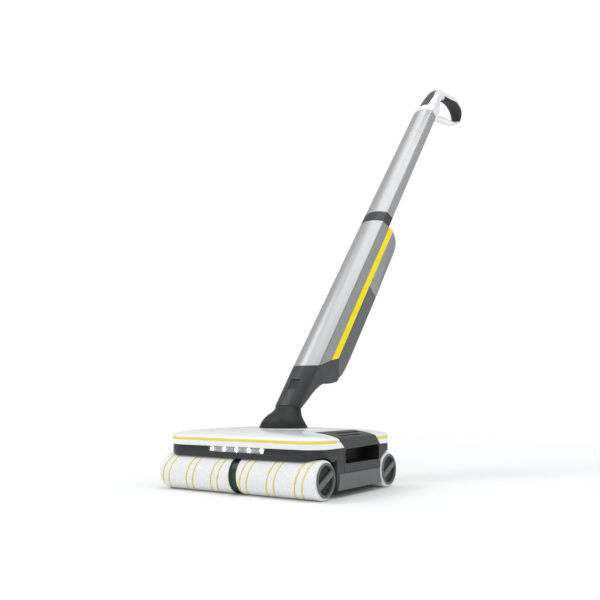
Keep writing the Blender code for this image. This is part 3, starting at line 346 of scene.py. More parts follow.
def block(x, y, z):
    return prism(box_outline(x, y), "Z", z[0], z[1])


def turned(profile, axis, centre, segments=64, closed=False):
    return loft([[on_axis(axis, along, a, b) for a, b in circle(radius, segments, centre)]
                 for along, radius in profile], closed)


def rounded_rectangle(half_x, low_y, high_y, radius, steps=6, front=None):
    front = radius if front is None else front
    points = []
    for side, start in ((1, -90), (1, 0), (-1, 90), (-1, 180)):
        low = start in (-90, 180)
        turn = front if low else radius
        points += arc((side * (half_x - turn), low_y + turn if low else high_y - turn), turn, start,
                      start + 90, steps)
    return points


def smooth_loop(points, steps=6):
    made = []
    count = len(points)
    for i in range(count):
        a, b, c, d = (Vector(points[(i + k) % count]) for k in (-1, 0, 1, 2))
        for s in range(steps):
            t = s / steps
            made.append(tuple(0.5 * (2 * b + (c - a) * t + (2 * a - 5 * b + 4 * c - d) * t ** 2
                                     + (3 * b - a - 3 * c + d) * t ** 3)))
    return made


def smooth_rows(rows, steps=4):
    """Catmull-Rom through rows of numbers, open at both ends."""
    made = []
    for i in range(len(rows) - 1):
        a, b, c, d = rows[max(i - 1, 0)], rows[i], rows[i + 1], rows[min(i + 2, len(rows) - 1)]
        for s in range(steps):
            t = s / steps
            made.append(tuple(0.5 * (2 * q + (r - p) * t + (2 * p - 5 * q + 4 * r - v) * t ** 2
                                     + (3 * q - p - 3 * r + v) * t ** 3) for p, q, r, v in zip(a, b, c, d)))
    made.append(rows[-1])
    return made


def new_object(name, bm, space, origin=(0.0, 0.0, 0.0)):
    """An object in head or stick space; its own origin sits at the given point there."""
    bmesh.ops.translate(bm, verts=bm.verts[:], vec=-Vector(origin))
    mesh = bpy.data.meshes.new(name)
    bm.to_mesh(mesh)
    bm.free()
    made = bpy.data.objects.new(name, mesh)
    bpy.context.scene.collection.objects.link(made)
    made.matrix_world = space @ Matrix.Translation(origin)
    return made


def carve(target, bm, space=HEAD_SPACE, operation="DIFFERENCE"):
    """Apply a boolean at once, with the cutter drawn in the same space."""
    cut_with(target, new_object("cutter", bm, space), operation)


def cut_with(target, cutter, operation="DIFFERENCE"):
    step = target.modifiers.new("carve", "BOOLEAN")
    step.operation = operation
    step.object = cutter
    bake(target)
    bpy.data.objects.remove(cutter, do_unlink=True)


def bake(target):
    depsgraph = bpy.context.evaluated_depsgraph_get()
    mesh = bpy.data.meshes.new_from_object(target.evaluated_get(depsgraph))
    target.modifiers.clear()
    target.data = mesh


def organic(target, voxel, rounds=2):
    """Rebuild a joined solid as one even skin with soft edges."""
    step = target.modifiers.new("skin", "REMESH")
    step.mode = "VOXEL"
    step.voxel_size = voxel
    smooth = target.modifiers.new("even", "SMOOTH")
    smooth.iterations = rounds
    smooth.factor = 0.5
    bake(target)


def level(made):
    """Move an object's placement into its mesh, so its bounding box stands upright."""
    made.data.transform(made.matrix_world)
    made.matrix_world = Matrix()


def shade(made, sharp):
    made.data.shade_smooth()
    made.data.set_sharp_from_angle(angle=radians(sharp))


def dress(made, body, material, nodes=(), sharp=32.0):
    made.data.materials.clear()
    made.data.materials.append(material)
    shade(made, sharp)
    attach(made, body)
    if nodes:
        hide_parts(*nodes)
    return made


# ---------------------------------------------------------------- head shapes
def head_outline(inset=0.0, steps=14, bow_steps=24):
    half_x, half_y = HEAD_HALF_X - inset, HEAD_HALF_Y - inset
    front, rear = max(FRONT_CORNER - inset, 0.004), max(REAR_CORNER - inset, 0.004)
    points = arc((half_x - rear, half_y - rear), rear, 0, 90, steps)
    points += arc((rear - half_x, half_y - rear), rear, 90, 180, steps)
    points += arc((front - half_x, front - half_y), front, 180, 270, steps)
    edge = half_x - front
    points += [(-edge + 2 * edge * i / bow_steps, -half_y) for i in range(1, bow_steps)]
    points += arc((half_x - front, front - half_y), front, 270, 360, steps)
    bowed = []
    for x, y in points:
        share = max(0.0, 1.0 - (x / half_x) ** 2) * max(0.0, -y / half_y)
        bowed.append((x, y - HEAD_BOW * share))
    return bowed


def head_rings(rows):
    """Rings around the head, from rows of inset and height."""
    return [[(x, y, z) for x, y in head_outline(inset)] for inset, z in rows]


def bore(made, radius, y, low, high):
    """Cut a round room along an axle."""
    carve(made, turned([(low, radius), (high, radius)], "X", (y, AXLE_Z), 96))


DOME = ((0.0000, 0.0845), (0.0014, 0.0868), (0.0055, 0.0888), (0.0140, 0.0910), (0.0290, 0.0934),
        (0.0530, 0.0957), (0.0900, 0.0974))


def dome_rows(inset=0.0, drop=0.0):
    return [(max(step, inset), height - drop) for step, height in smooth_rows([(0.0, 0.0825), *DOME], 4)]


def drawer_outline(grown=0.0):
    points = [(-0.0455, 0.0355), (0.0705, 0.0355), (0.0705, DECK_TOP), (0.0530, 0.0890), (0.0530, 0.1100),
              (-0.0660, 0.1100), (-0.0660, 0.0890), (-0.0455, DECK_TOP)]
    if not grown:
        return points
    ys = [-grown, grown, grown, grown, grown, -grown, -grown, -grown]
    zs = [-grown, -grown, 0, 0, 0, 0, 0, 0]
    return [(y + a, z + b) for (y, z), a, b in zip(points, ys, zs)]


PIVOT_Y = STICK_Y + sin(LEAN) * PIVOT[2] + cos(LEAN) * PIVOT[1]
TRIM_LOW, TRIM_TOP = 0.0808, 0.0838


def build_cover():
    lip = [(0.0010, COVER_LOW), (0.0002, COVER_LOW + 0.0005), (0.0000, COVER_LOW + 0.0012)]
    wall = 0.0022
    outer = head_rings(lip + dome_rows())
    inner = head_rings([(wall, COVER_LOW)] + dome_rows(wall, wall))
    made = new_object("cover_shell", loft(list(reversed(inner)) + outer), HEAD_SPACE)
    for _, sign in SIDES:
        carve(made, prism(drawer_outline(GAP), "X", sign * 0.1075, sign * 0.1700))
    carve(made, loft([[(x * BALL_WIDEN, PIVOT_Y + y, z) for x, y in circle(radius, 96)]
                      for z, radius in ((0.088, 0.0410), (0.0962, 0.0410), (0.0972, 0.0418), (0.12, 0.06))]))
    carve(made, prism(rounded_rectangle(0.0300, 0.0200, 0.0625, 0.0090), "Z", 0.08, 0.11))
    low, high = TRIM_LOW - GAP, TRIM_TOP + GAP
    carve(made, loft(head_rings([(-0.002, low), (-0.002, high), (0.0011, high), (0.0011, low)]), True))
    return dress(made, "head", WHITE, ["top_cover"], 30)


def build_cover_rim():
    """Raised oval rim in the cover's top, in front of and around the neck's opening."""
    rows = []
    for turn in range(128):
        t = 2 * pi * turn / 128
        x, y = 0.0800 * cos(t), PIVOT_Y - 0.0060 + 0.0560 * sin(t)
        away = min(HEAD_HALF_X - abs(x), HEAD_HALF_Y - abs(y))
        z = height_of_dome(away)
        rows.append((Vector((x, y, z)), Vector((cos(t), sin(t), 0.0))))
    rings = []
    for out, up in ((-0.0016, -0.0010), (-0.0012, 0.0001), (-0.0004, 0.00035), (0.0004, 0.00035),
                    (0.0012, 0.0001),
                    (0.0016, -0.0010)):
        rings.append([tuple(at + way * out + Vector((0, 0, up))) for at, way in rows])
    made = new_object("cover_rim", loft(rings, True), HEAD_SPACE)
    return dress(made, "head", WHITE, (), 60)


def height_of_dome(away):
    rows = dome_rows()
    for (a0, z0), (a1, z1) in zip(rows, rows[1:]):
        if a0 <= away <= a1 and a1 > a0:
            return z0 + (z1 - z0) * (away - a0) / (a1 - a0)
    return rows[-1][1] if away > rows[-1][0] else rows[0][1]


def band(low, high, outer, inner, edge=0.0004):
    """A closed strip that follows the head's outline, with rounded edges."""
    section = soften([(outer, low), (outer, high), (inner, high), (inner, low)], edge, 3)
    return loft(head_rings(section), True)


def build_trims():
    for name, y in (("front_trim", (-0.2, -0.0675)), ("rear_trim", (0.0620, 0.2))):
        made = new_object("line_" + name, band(TRIM_LOW, TRIM_TOP, -0.0001, 0.0008, 0.0003), HEAD_SPACE)
        carve(made, block((-0.2, 0.2), y, (0.07, 0.09)), operation="INTERSECT")
        dress(made, "head", YELLOW, [name], 40)


LAMP_HALF, LAMP_LOW, LAMP_Z, LAMP_PITCH = 0.0560, 0.0638, 0.0678, 0.0240


def build_bumpers():
    for name, low, y, axle in (("front_bumper", BAND_LOW, (-0.2, -0.0663), -AXLE_Y),
                               ("rear_bumper", 0.0490, (0.0711, 0.2), AXLE_Y)):
        section = [(0.0016, DECK_TOP), (0.0010, DECK_TOP - 0.0012), (0.0010, 0.0640), (0.0013, 0.0636),
                   (0.0013, 0.0630),
                   (0.0010, 0.0626), (0.0014, low + 0.0030), (0.0028, low), (0.0045, low), (0.0045, DECK_TOP)]
        made = new_object("band_" + name, loft(head_rings(section), True), HEAD_SPACE)
        carve(made, block((-0.2, 0.2), y, (0.03, 0.09)), operation="INTERSECT")
        bore(made, ROLLER_ROOM, axle, -0.2, 0.2)
        if name == "front_bumper":
            window = [(-LAMP_HALF - 0.0030, 0.08), (-LAMP_HALF + 0.0035, LAMP_LOW - GAP),
                      (LAMP_HALF - 0.0035, LAMP_LOW - GAP),
                      (LAMP_HALF + 0.0010, 0.08)]
            carve(made, prism(window, "Y", -0.2, -0.1))
        else:
            carve(made, block((-0.2, 0.2), (AXLE_Y, 0.2), (0.0400, 0.0565)))
        dress(made, "head", BLACK, [name], 30)


def front_plane(x, inset=0.0):
    return -HEAD_HALF_Y + inset - HEAD_BOW * (1 - (x / HEAD_HALF_X) ** 2)


def build_lamps():
    slant = [(-LAMP_HALF - 0.0004, DECK_TOP - GAP), (-LAMP_HALF + 0.0039, LAMP_LOW),
             (LAMP_HALF - 0.0039, LAMP_LOW),
             (LAMP_HALF - 0.0004, DECK_TOP - GAP)]
    lens = new_object("lamp_lens", band(LAMP_LOW, DECK_TOP - GAP, 0.0011, 0.0022, 0.0003), HEAD_SPACE)
    carve(lens, prism(slant, "Y", -0.2, -0.1), operation="INTERSECT")
    dress(lens, "head", LENS, ["led_lens"], 35)
    tray = new_object("lamp_tray", band(LAMP_LOW + 0.0004, DECK_TOP - 0.0007, 0.0042, 0.0050, 0.0002),
                      HEAD_SPACE)
    carve(tray, block((-LAMP_HALF + 0.003, LAMP_HALF - 0.003), (-0.2, -0.1), (0.03, 0.09)),
          operation="INTERSECT")
    dress(tray, "head", REFLECTOR, ["led_board"], 35)
    for i in range(-2, 3):
        x = i * LAMP_PITCH
        front = front_plane(x)
        ring = [(front + 0.0041, 0.0037), (front + 0.0028, 0.0036), (front + 0.0028, 0.0033),
                (front + 0.0037, 0.0024)]
        cup = new_object("lamp_cup_%d" % (i + 3), turned(ring, "Y", (x, LAMP_Z), 40, True), HEAD_SPACE)
        dress(cup, "head", REFLECTOR, (), 40)
        bead = [(front + 0.0041, 0.0028), (front + 0.0031, 0.0027), (front + 0.0027, 0.0021),
                (front + 0.0025, 0.0010)]
        made = new_object("lamp_bead_%d" % (i + 3), turned(bead, "Y", (x, LAMP_Z), 32), HEAD_SPACE)
        dress(made, "head", LED, (), 40)


PANEL_FROM, PANEL_TO = 0.1380, 0.1488
STRIP_TOP, STRIP_BACK, ARCH_RIM = 0.0345, 0.1464, 0.0395


def build_side(side, sign):
    outline = box_outline((-0.0660, 0.0708), (0.0105, DECK_TOP))
    panel = new_object("side_shell_" + side, slab(outline, "X", sign * PANEL_FROM, sign * PANEL_TO, 0.0005),
                       HEAD_SPACE)
    for y in (-AXLE_Y, AXLE_Y):
        bore(panel, ROLLER_ROOM, y, sign * 0.1, sign * 0.2)
    carve(panel, prism(drawer_outline(GAP), "X", sign * 0.1, sign * 0.2))
    grown = box_outline((-0.0690, 0.0780), (0.0, STRIP_TOP + GAP))
    recess = new_object("recess", prism(grown, "X", sign * (STRIP_BACK - GAP), sign * 0.2), HEAD_SPACE)
    bore(recess, ARCH_RIM - GAP, -AXLE_Y, sign * 0.1, sign * 0.21)
    cut_with(panel, recess)
    dress(panel, "head", SIDE_GREY, ["side_panel_" + side], 30)

    outline = soften(box_outline((-0.0670, 0.0750), (0.0105, STRIP_TOP)), 0.0012, 3)
    strip = new_object("foot_strip_" + side, slab(outline, "X", sign * STRIP_BACK, sign * 0.1498, 0.0008),
                       HEAD_SPACE)
    bore(strip, ARCH_RIM, -AXLE_Y, sign * 0.1, sign * 0.2)
    bore(strip, ROLLER_ROOM, AXLE_Y, sign * 0.1, sign * 0.2)
    dress(strip, "head", STRIP_GREY, ["side_strip_" + side], 30)


def build_tank_cover(side, sign):
    """Dark block with the hand opening, its top flush with the dome and two finger slots in it."""
    made = new_object("tank_grip_" + side, prism(drawer_outline(), "X", sign * 0.1080, sign * 0.1600),
                      HEAD_SPACE)
    carve(made, loft(head_rings([(0.0008, 0.0)] + dome_rows(0.0008))), operation="INTERSECT")
    room = [(-0.0425, 0.0485), (0.0672, 0.0485), (0.0672, 0.0700), (0.0640, 0.0722), (-0.0400, 0.0700),
            (-0.0425, 0.0675)]
    room = soften(room, 0.0045, 5)
    carve(made, prism(room, "X", sign * 0.1180, sign * 0.2))
    for x, front, rear, low in ((0.1405, -0.042, 0.018, 0.0876), (0.1262, -0.036, 0.040, 0.0893)):
        half = 0.0024 if x > 0.13 else 0.0036
        slot = soften(box_outline((front, rear), (low, 0.11)), 0.0, 1)
        carve(made, loft([[(sign * (x + reach), y, z) for y, z in grow(slot, lift)]
                          for reach, lift in ((-half, 0.0), (half, 0.0))]))
    dress(made, "tank_" + side, SIDE_GREY, ["tank_cover_" + side], 28)
    # Painted shade: the faces inside the hand opening get the near-black material, darker than the cover around
    # them.
    made.data.materials.append(BLACK_AND_HOLE_SHADE)
    for face in made.data.polygons:
        x, y, z = face.center
        if abs(x) < 0.1475 and -0.0430 < y < 0.0676 and 0.0480 < z < 0.0726:
            face.material_index = 1


def build_slot_floors(side, sign):
    """Pale bevel along the upper finger slot."""
    wedge = [(0.1226, 0.0894), (0.1250, 0.0894), (0.1235, 0.0914), (0.1226, 0.0914)]
    made = new_object("slot_bevel_" + side, prism([(sign * x, z) for x, z in wedge], "Y", -0.0355, 0.0395),
                      HEAD_SPACE)
    dress(made, "tank_" + side, CAP_GREY, (), 30)


# ---------------------------------------------------------------- rollers
def build_roller(end, side, sign):
    at = (0.0, -AXLE_Y if end == "front" else AXLE_Y, AXLE_Z)
    name = "_%s_%s" % (end, side)
    body = "roller" + name
    low, high = 0.0071, ROLLER_OUTER_END
    profile = [(low, 0.0226), (low, 0.0276), (low + 0.0006, 0.0283), (low + 0.0016, 0.02875),
               (low + 0.0030, ROLLER_RADIUS)]
    profile += [(low + 0.0030 + (high - low - 0.0090) * i / 60, ROLLER_RADIUS) for i in range(1, 61)]
    profile += [(high - 0.0042, 0.0288), (high - 0.0028, 0.0283), (high - 0.0018, 0.0275),
                (high - 0.0012, 0.0264),
                (high - 0.0012, 0.0226)]
    bm = turned([(sign * x, radius) for x, radius in profile], "X", at[1:], 120, True)
    made = new_object("pile" + name, bm, HEAD_SPACE, (0.0075 if sign > 0 else 0.0010, *at[1:]))
    texture = bpy.data.textures.new("pile", "CLOUDS")
    texture.noise_scale = 0.0016
    texture.noise_depth = 2
    ruffle = made.modifiers.new("pile", "DISPLACE")
    ruffle.texture = texture
    ruffle.texture_coords = "LOCAL"
    ruffle.mid_level = 1.0
    ruffle.strength = 0.0005
    bake(made)
    dress(made, body, CLOTH, ["roller_sleeve" + name], 60)

    ring = [(0.1280, 0.0120), (0.1280, 0.0190), (0.1382, 0.0190), (0.1382, 0.0222), (0.1494, 0.0222),
            (0.1496, 0.0246), (0.1503, 0.0251), (0.1509, 0.0250), (0.1513, 0.0244), (0.1514, 0.0235),
            (0.1513, 0.0222), (0.1508, 0.0215), (0.1500, 0.0212), (0.1474, 0.0210), (0.1460, 0.0210),
            (0.1460, 0.0120)]
    cap = new_object("cap_ring" + name, turned([(sign * x, r) for x, r in ring], "X", at[1:], 96, True),
                     HEAD_SPACE, at)
    dress(cap, body, CAP_GREY, ["roller_cap" + name], 30)
    # Painted shade: the disc at the bottom of the end cap's recess is near black, for the shade inside the
    # recess.
    disc = [(0.1400, 0.0050), (0.1400, 0.0208), (0.1472, 0.0212), (0.1474, 0.0206), (0.1474, 0.0060),
            (0.1468, 0.0050)]
    inner = new_object("cap_disc" + name, turned([(sign * x, r) for x, r in disc], "X", at[1:], 72, True),
                       HEAD_SPACE, at)
    dress(inner, body, BLACK_AND_HOLE_SHADE, (), 30)
    bar = slab(soften(box_outline((-0.0209, 0.0209), (-0.0044, 0.0044)), 0.0010, 3), "X", sign * 0.1466,
               sign * 0.1508, 0.0008)
    bmesh.ops.rotate(bar, verts=bar.verts[:], cent=(0, 0, 0), matrix=Matrix.Rotation(radians(27), 3, "X"))
    bmesh.ops.translate(bar, verts=bar.verts[:], vec=at)
    made = new_object("cap_bar" + name, bar, HEAD_SPACE, at)
    dress(made, body, CAP_GREY, (), 30)
    lip = [(0.0062, 0.0222), (0.0062, 0.0281), (0.0064, 0.0283), (0.0068, 0.0281), (0.0068, 0.0222)]
    made = new_object("core_rim" + name, turned([(sign * x, r) for x, r in lip], "X", at[1:], 72, True),
                      HEAD_SPACE, at)
    dress(made, body, GREEN, (), 30)


# ---------------------------------------------------------------- neck and foot
def sloped(section, level, slope=BAND_SLOPE):
    return [(x, y, level + slope * y) for x, y in section]


def build_neck():
    outer = []
    for i in range(25):
        a = radians(-60 + 92 * i / 24)
        outer.append((PIVOT[2] + BALL_RADIUS * sin(a), PIVOT[1], BALL_RADIUS * cos(a) * BALL_WIDEN,
                      BALL_RADIUS * cos(a)))
    cone = smooth_rows([outer[-1], (0.0490, 0.0160, 0.0325, 0.0285), (0.0532, 0.0130, 0.0290, 0.0248),
                        (0.0576, 0.0098, 0.0261, 0.0206), (0.0600, 0.0078, 0.0252, 0.0186)], 5)
    rings = [[(half_x * x, back + half_y * y, up) for x, y in circle(1.0, 96)] for up, back, half_x,
             half_y in outer + cone[1:-3]]
    crown = [(0.0246, 0.0036, 0.0128, -0.0016), (0.0243, 0.0031, 0.0123, -0.0006),
             (0.0236, 0.0030, 0.0117, -0.0004),
             (0.0060, 0.0030, 0.0050, -0.0004)]
    for half_x, back, half_y, drop in crown:
        rings.append(sloped([(half_x * x, back + half_y * y) for x, y in circle(1.0, 96)], FOOT_LOW + drop))
    made = new_object("neck_cuff", loft(rings), STICK_SPACE)
    return dress(made, "neck", NECK_BLACK, ["neck_yoke"], 40)


FOOT_LINE = ((-0.0200, 0.1400), (0.0000, 0.1575), (0.0034, 0.1610), (0.0273, 0.1943), (0.0439, 0.2135))
SEAM_LOW = (0.0670, 0.1830)
FOOT_SECTIONS = ((FOOT_LOW, 0.0243, 0.0145, 0.0125), (0.0773, 0.0245, 0.0161, 0.0115),
                 (0.0920, 0.0249, 0.0189, 0.0095),
                 (0.1050, 0.0252, 0.0208, 0.0080), (0.1175, 0.0255, 0.0238, 0.0070),
                 (0.1320, 0.0258, 0.0290, 0.0060),
                 (0.1445, 0.0260, 0.0360, 0.0050), (0.1542, 0.0262, 0.0462, 0.0045),
                 (0.1642, 0.0263, 0.0567, 0.0045),
                 (0.1737, 0.0264, 0.0649, 0.0045), (0.1832, 0.0264, 0.0702, 0.0045),
                 (0.2200, 0.0264, 0.0740, 0.0045))


def bulged(half, bulge, back, corner, steps=32):
    """Section with a bowed front, rounded where it turns into the sides, and a squarer back."""
    front = []
    for i in range(steps + 1):
        t = 2 * i / steps - 1
        front.append((half * t, -bulge * (1 - t * t)))
    rear = arc((half - corner, back - corner), corner, 0, 90, 6) + arc((corner - half, back - corner), corner,
                                                                       90, 180, 6)
    return front + rear


def below_foot_line(shift):
    line = [(back, up + shift) for back, up in FOOT_LINE]
    return line + [(0.0900, 0.2650 + shift), (0.0900, 0.0), (-0.0200, 0.0)]


def above_foot_line():
    seam = (0.2133 - SEAM_LOW[1]) / (SEAM_LOW[0] - FOOT_LINE[-1][0])
    rows = smooth_rows([FOOT_LINE[1], FOOT_LINE[2], FOOT_LINE[3], FOOT_LINE[4]], 6)
    return [FOOT_LINE[0], *rows, (0.0900, 0.2133 - seam * (0.0900 - FOOT_LINE[-1][0])), (0.0900, 0.3),
            (-0.0200, 0.3)]


def cut_across(made, outline, operation="DIFFERENCE"):
    """Cut with an outline of the stick's side, across its whole width."""
    carve(made, prism(outline, "X", -0.1, 0.1), STICK_SPACE, operation)


def above_slope(level):
    return [(-0.05, level - 0.05 * BAND_SLOPE), (0.10, level + 0.10 * BAND_SLOPE), (0.10, 2.0), (-0.05, 2.0)]


def build_foot():
    rows = [FOOT_SECTIONS[0]] + smooth_rows(FOOT_SECTIONS[1:], 5)
    rings = [sloped(rounded_rectangle(half, 0.0024, back, corner, 8, 0.0008), up, BAND_SLOPE
                    if up == FOOT_LOW else 0.0)
             for up, half, back, corner in rows]
    made = new_object("foot_belly", loft(rings), STICK_SPACE)
    cut_across(made, above_foot_line())
    dress(made, "stick", BELLY, ["stick_foot"], 30)
    shield = []
    for up, half in ((FOOT_LOW, 0.0249), (FOOT_LOW + 0.0006, 0.0254), (0.1610, 0.0270), (0.1850, 0.0272)):
        slope = BAND_SLOPE if up < 0.07 else 0.0
        shield.append(sloped(shield_section(half, 0.0100), up, slope))
    made = new_object("foot_shield", loft(shield), STICK_SPACE)
    cut_across(made, above_foot_line())
    badge = rounded_rectangle(0.0088, 0.0952, 0.1180, 0.0015)
    carve(made, prism(badge, "Y", -0.0200, -0.0079), STICK_SPACE)
    dress(made, "stick", CHARCOAL, (), 30)
    plate = slab(rounded_rectangle(0.0084, 0.0956, 0.1176, 0.0013), "Y", -0.0086, -0.0070, 0.0003)
    made = new_object("foot_badge", plate, STICK_SPACE)
    dress(made, "stick", BLACK_AND_HOLE_SHADE, (), 30)


def shield_section(half, bulge, back=0.0021, steps=36):
    """The foot's bowed shield with small rounded side edges."""
    front = [(half * (2 * i / steps - 1), -bulge * (1 - (2 * i / steps - 1) ** 2)) for i in range(steps + 1)]
    edge = 0.0006
    return front + [(half, back - edge), (half - edge, back), (edge - half, back), (-half, back - edge)]


# ---------------------------------------------------------------- stick body
def build_body():
    front = bulged(BODY_HALF, BODY_BULGE, 0.0016, 0.0006, 48)
    made = new_object("body_face", prism(front, "Z", 0.1350, 0.6200), STICK_SPACE)
    carve(made, prism(bulged(BODY_HALF - 0.0020, BODY_BULGE - 0.0016, 0.0100, 0.0008), "Z", 0.0, 1.0),
          STICK_SPACE)
    cut_across(made, below_foot_line(GAP))
    cut_across(made, above_slope(BODY_TOP - GAP))
    dress(made, "stick", SILVER, ["body_front"], 30)

    wall, step = 0.0018, STRIPE_FROM - GAP
    outer = [(-BODY_HALF + 0.0006, 0.0028), (-BODY_HALF, 0.0034), (-BODY_HALF, step - 0.0005),
             (-BODY_HALF + 0.0005, step),
             (-0.0244, step), (-0.0244, REAR_FROM - GAP)]
    inner = [(-BODY_HALF + wall, 0.0028), (-BODY_HALF + wall, step - wall), (-0.0244 + wall, step - wall),
             (-0.0244 + wall, REAR_FROM - GAP - wall)]
    half = list(reversed(inner)) + outer
    channel = half + [(-x, y) for x, y in reversed(half)]
    made = new_object("body_shell", prism(channel, "Z", 0.1350, 0.5735), STICK_SPACE)
    cut_across(made, below_foot_line(GAP))
    cut_across(made, above_slope(BODY_TOP - GAP))
    # Painted shade: the channel's side walls get the darker copy of the silver.
    dress(made, "stick", SILVER_SHADED_SIDE, ["body_channel"], 30)

    for side, sign in SIDES:
        outline = soften([(STRIPE_FROM, 0.1850), (STRIPE_TO, 0.1850), (STRIPE_TO, 0.5812),
                          (STRIPE_FROM, 0.5735)], 0.0012, 4)
        made = new_object("stripe_bar_" + side, slab(outline, "X", sign * 0.0247, sign * 0.0267, 0.0006),
                          STICK_SPACE)
        cut_across(made, below_foot_line(GAP))
        dress(made, "stick", YELLOW, ["stripe_" + side], 35)


def rear_block(name, outline, material, body, nodes, corner=0.0040):
    """Block on the stick's back whose outer edges are rounded, open towards the stick."""
    rings = []
    steps = 6
    for i in range(2 * steps + 2):
        half_turn = i if i <= steps else 2 * steps + 1 - i
        inset = corner * (1 - sin(pi / 2 * half_turn / steps))
        shift = corner * (1 - cos(pi / 2 * half_turn / steps))
        x = -BODY_HALF + shift if i <= steps else BODY_HALF - shift
        rings.append([(x, max(y, REAR_FROM), z) for y, z in grow(outline, -inset)])
    made = new_object(name, loft(rings), STICK_SPACE)
    return dress(made, body, material, nodes, 30)


def build_rear():
    profile = smooth_rows([(SEAM_LOW[0] + 0.0004, SEAM_LOW[1]), (0.0715, 0.1905), (0.0745, 0.2000),
                           (0.0765, 0.2120),
                           (0.0775, 0.2270), (0.0782, 0.2500)], 4)
    tank = [(REAR_FROM, 0.2138), *profile, (0.0785, 0.3200), (0.0787, TANK_TOP - 0.0008), (0.0779, TANK_TOP),
            (REAR_FROM, TANK_TOP)]
    made = rear_block("tank_shell", tank, TANK_GREY, "clean_tank", ["clean_tank"])
    carve(made, turned([(0.0600, 0.0105), (0.1000, 0.0105)], "Y", (0.0, FILLER_UP), 64), STICK_SPACE)
    shade(made, 30)
    top = smooth_rows([(0.0778, 0.5450), (0.0765, 0.5560), (0.0720, 0.5690), (0.0650, 0.5770),
                       (0.0550, 0.5805),
                       (REAR_FROM, 0.5825)], 5)
    cover = [(REAR_FROM, TANK_TOP + 2 * GAP), (0.0777, TANK_TOP + 2 * GAP),
             (0.0785, TANK_TOP + 2 * GAP + 0.0008), *top]
    # Painted shade: the rear cover's side and back faces get the darker copy of the silver.
    made = rear_block("rear_shell", cover, SILVER_SHADED_SIDE, "stick", ["rear_cover"])
    carve(made, block((-0.0084, 0.0084), (0.0740, 0.0850), (0.4216, 0.4334)), STICK_SPACE)
    shade(made, 30)
    cap = [(0.0745, 0.0001), (0.0745, 0.0080), (0.0755, 0.0092), (0.0789, 0.0101), (0.0791, 0.0122),
           (0.0794, 0.0128),
           (0.0804, 0.0128), (0.0809, 0.0122), (0.0814, 0.0105), (0.0813, 0.0080), (0.0809, 0.0074),
           (0.0809, 0.0001)]
    made = new_object("filler_cap", turned(cap, "Y", (0.0, FILLER_UP), 64), STICK_SPACE)
    carve(made, slab(soften(box_outline((-0.0060, 0.0060), (FILLER_UP, FILLER_UP + 0.0173)), 0.0015, 4), "Y",
                     0.0792, 0.0808,
                     0.0003), STICK_SPACE, "UNION")
    dress(made, "tank_cap", RUBBER, ["tank_cap"], 30)
    latch = slab(soften(box_outline((-0.0080, 0.0080), (0.4220, 0.4330)), 0.0020, 5), "Y", 0.0735, 0.0792,
                 0.0008)
    made = new_object("latch_key", latch, STICK_SPACE)
    for i in range(3):
        up = 0.4248 + 0.0027 * i
        carve(made, block((-0.0050, 0.0050), (0.0788, 0.0800), (up - 0.0005, up + 0.0005)), STICK_SPACE)
    dress(made, "tank_latch", BLACK, ["tank_latch"], 30)


# ---------------------------------------------------------------- coupling, tube and handle
FACE_STEPS = 48


def tube_section(half, bulge, back, corner, thin=0.0, groove=0.0):
    """The tube's section, with an optional narrow groove along each side behind the front face."""
    points = bulged(half - thin, bulge - thin, back - thin, corner, FACE_STEPS)
    side = half - thin
    right = [(side, 0.0012), (side - groove, 0.0016), (side - groove, 0.0029), (side, 0.0033)]
    return points[:FACE_STEPS + 1] + right + points[FACE_STEPS + 1:] + [(-x, y) for x, y in reversed(right)]


def build_upper():
    outer = (BODY_HALF + 0.0002, BODY_BULGE + 0.0002, TUBE_DEPTH, 0.0030)
    low, high = BODY_TOP + 0.0001, TUBE_LOW - GAP
    rings = [(0.0005, low), (0.0, low + 0.0006), (0.0, high - 0.0006), (0.0005, high), (0.0045, high),
             (0.0045, low)]
    made = new_object("coupling_band", loft([sloped(tube_section(*outer, thin), up) for thin, up in rings],
                                            True), STICK_SPACE)
    dress(made, "stick", BLACK, ["coupling_ring"], 30)
    rings = []
    for thin, share in ((0.0004, 0.0), (0.0, 0.0012), (0.0, 0.9988), (0.0004, 1.0), (0.0017, 1.0),
                        (0.0017, 0.0)):
        half = TUBE_HALF_LOW + (TUBE_HALF_TOP - TUBE_HALF_LOW) * share
        slope = BAND_SLOPE + (TOP_SLOPE - BAND_SLOPE) * share
        section = tube_section(half, BODY_BULGE, TUBE_DEPTH, 0.0030, thin, 0.0007)
        rings.append(sloped(section, TUBE_LOW + (TUBE_TOP - TUBE_LOW) * share, slope))
    made = new_object("tube_shell", loft(rings, True), STICK_SPACE)
    dress(made, "stick", SILVER, ["upper_tube"], 30)


def level_point(run, rise):
    return (cos(LEAN) * run - sin(LEAN) * rise, sin(LEAN) * run + cos(LEAN) * rise)


def level_loop(points, steps=6):
    return [level_point(run, rise) for run, rise in smooth_loop(points, steps)]


LOOP_OUTSIDE = ((0.683, 0.829), (0.700, 0.846), (0.723, 0.858), (0.752, 0.863), (0.790, 0.868),
                (0.828, 0.873),
                (0.852, 0.870), (0.869, 0.857), (0.874, 0.840), (0.868, 0.823), (0.856, 0.808),
                (0.838, 0.799),
                (0.800, 0.789), (0.745, 0.779), (0.702, 0.771), (0.672, 0.775), (0.670, 0.803))
LOOP_OPENING = ((0.706, 0.786), (0.716, 0.807), (0.732, 0.827), (0.758, 0.841), (0.795, 0.846),
                (0.826, 0.843),
                (0.845, 0.833), (0.850, 0.820), (0.841, 0.8095), (0.800, 0.800), (0.760, 0.794),
                (0.728, 0.788))
GRIP_ZONE = ((0.792, 0.822), (0.744, 0.847), (0.790, 0.8535), (0.832, 0.8590), (0.856, 0.8520),
             (0.885, 0.8330),
             (0.900, 0.812), (0.872, 0.812), (0.844, 0.811), (0.815, 0.815))
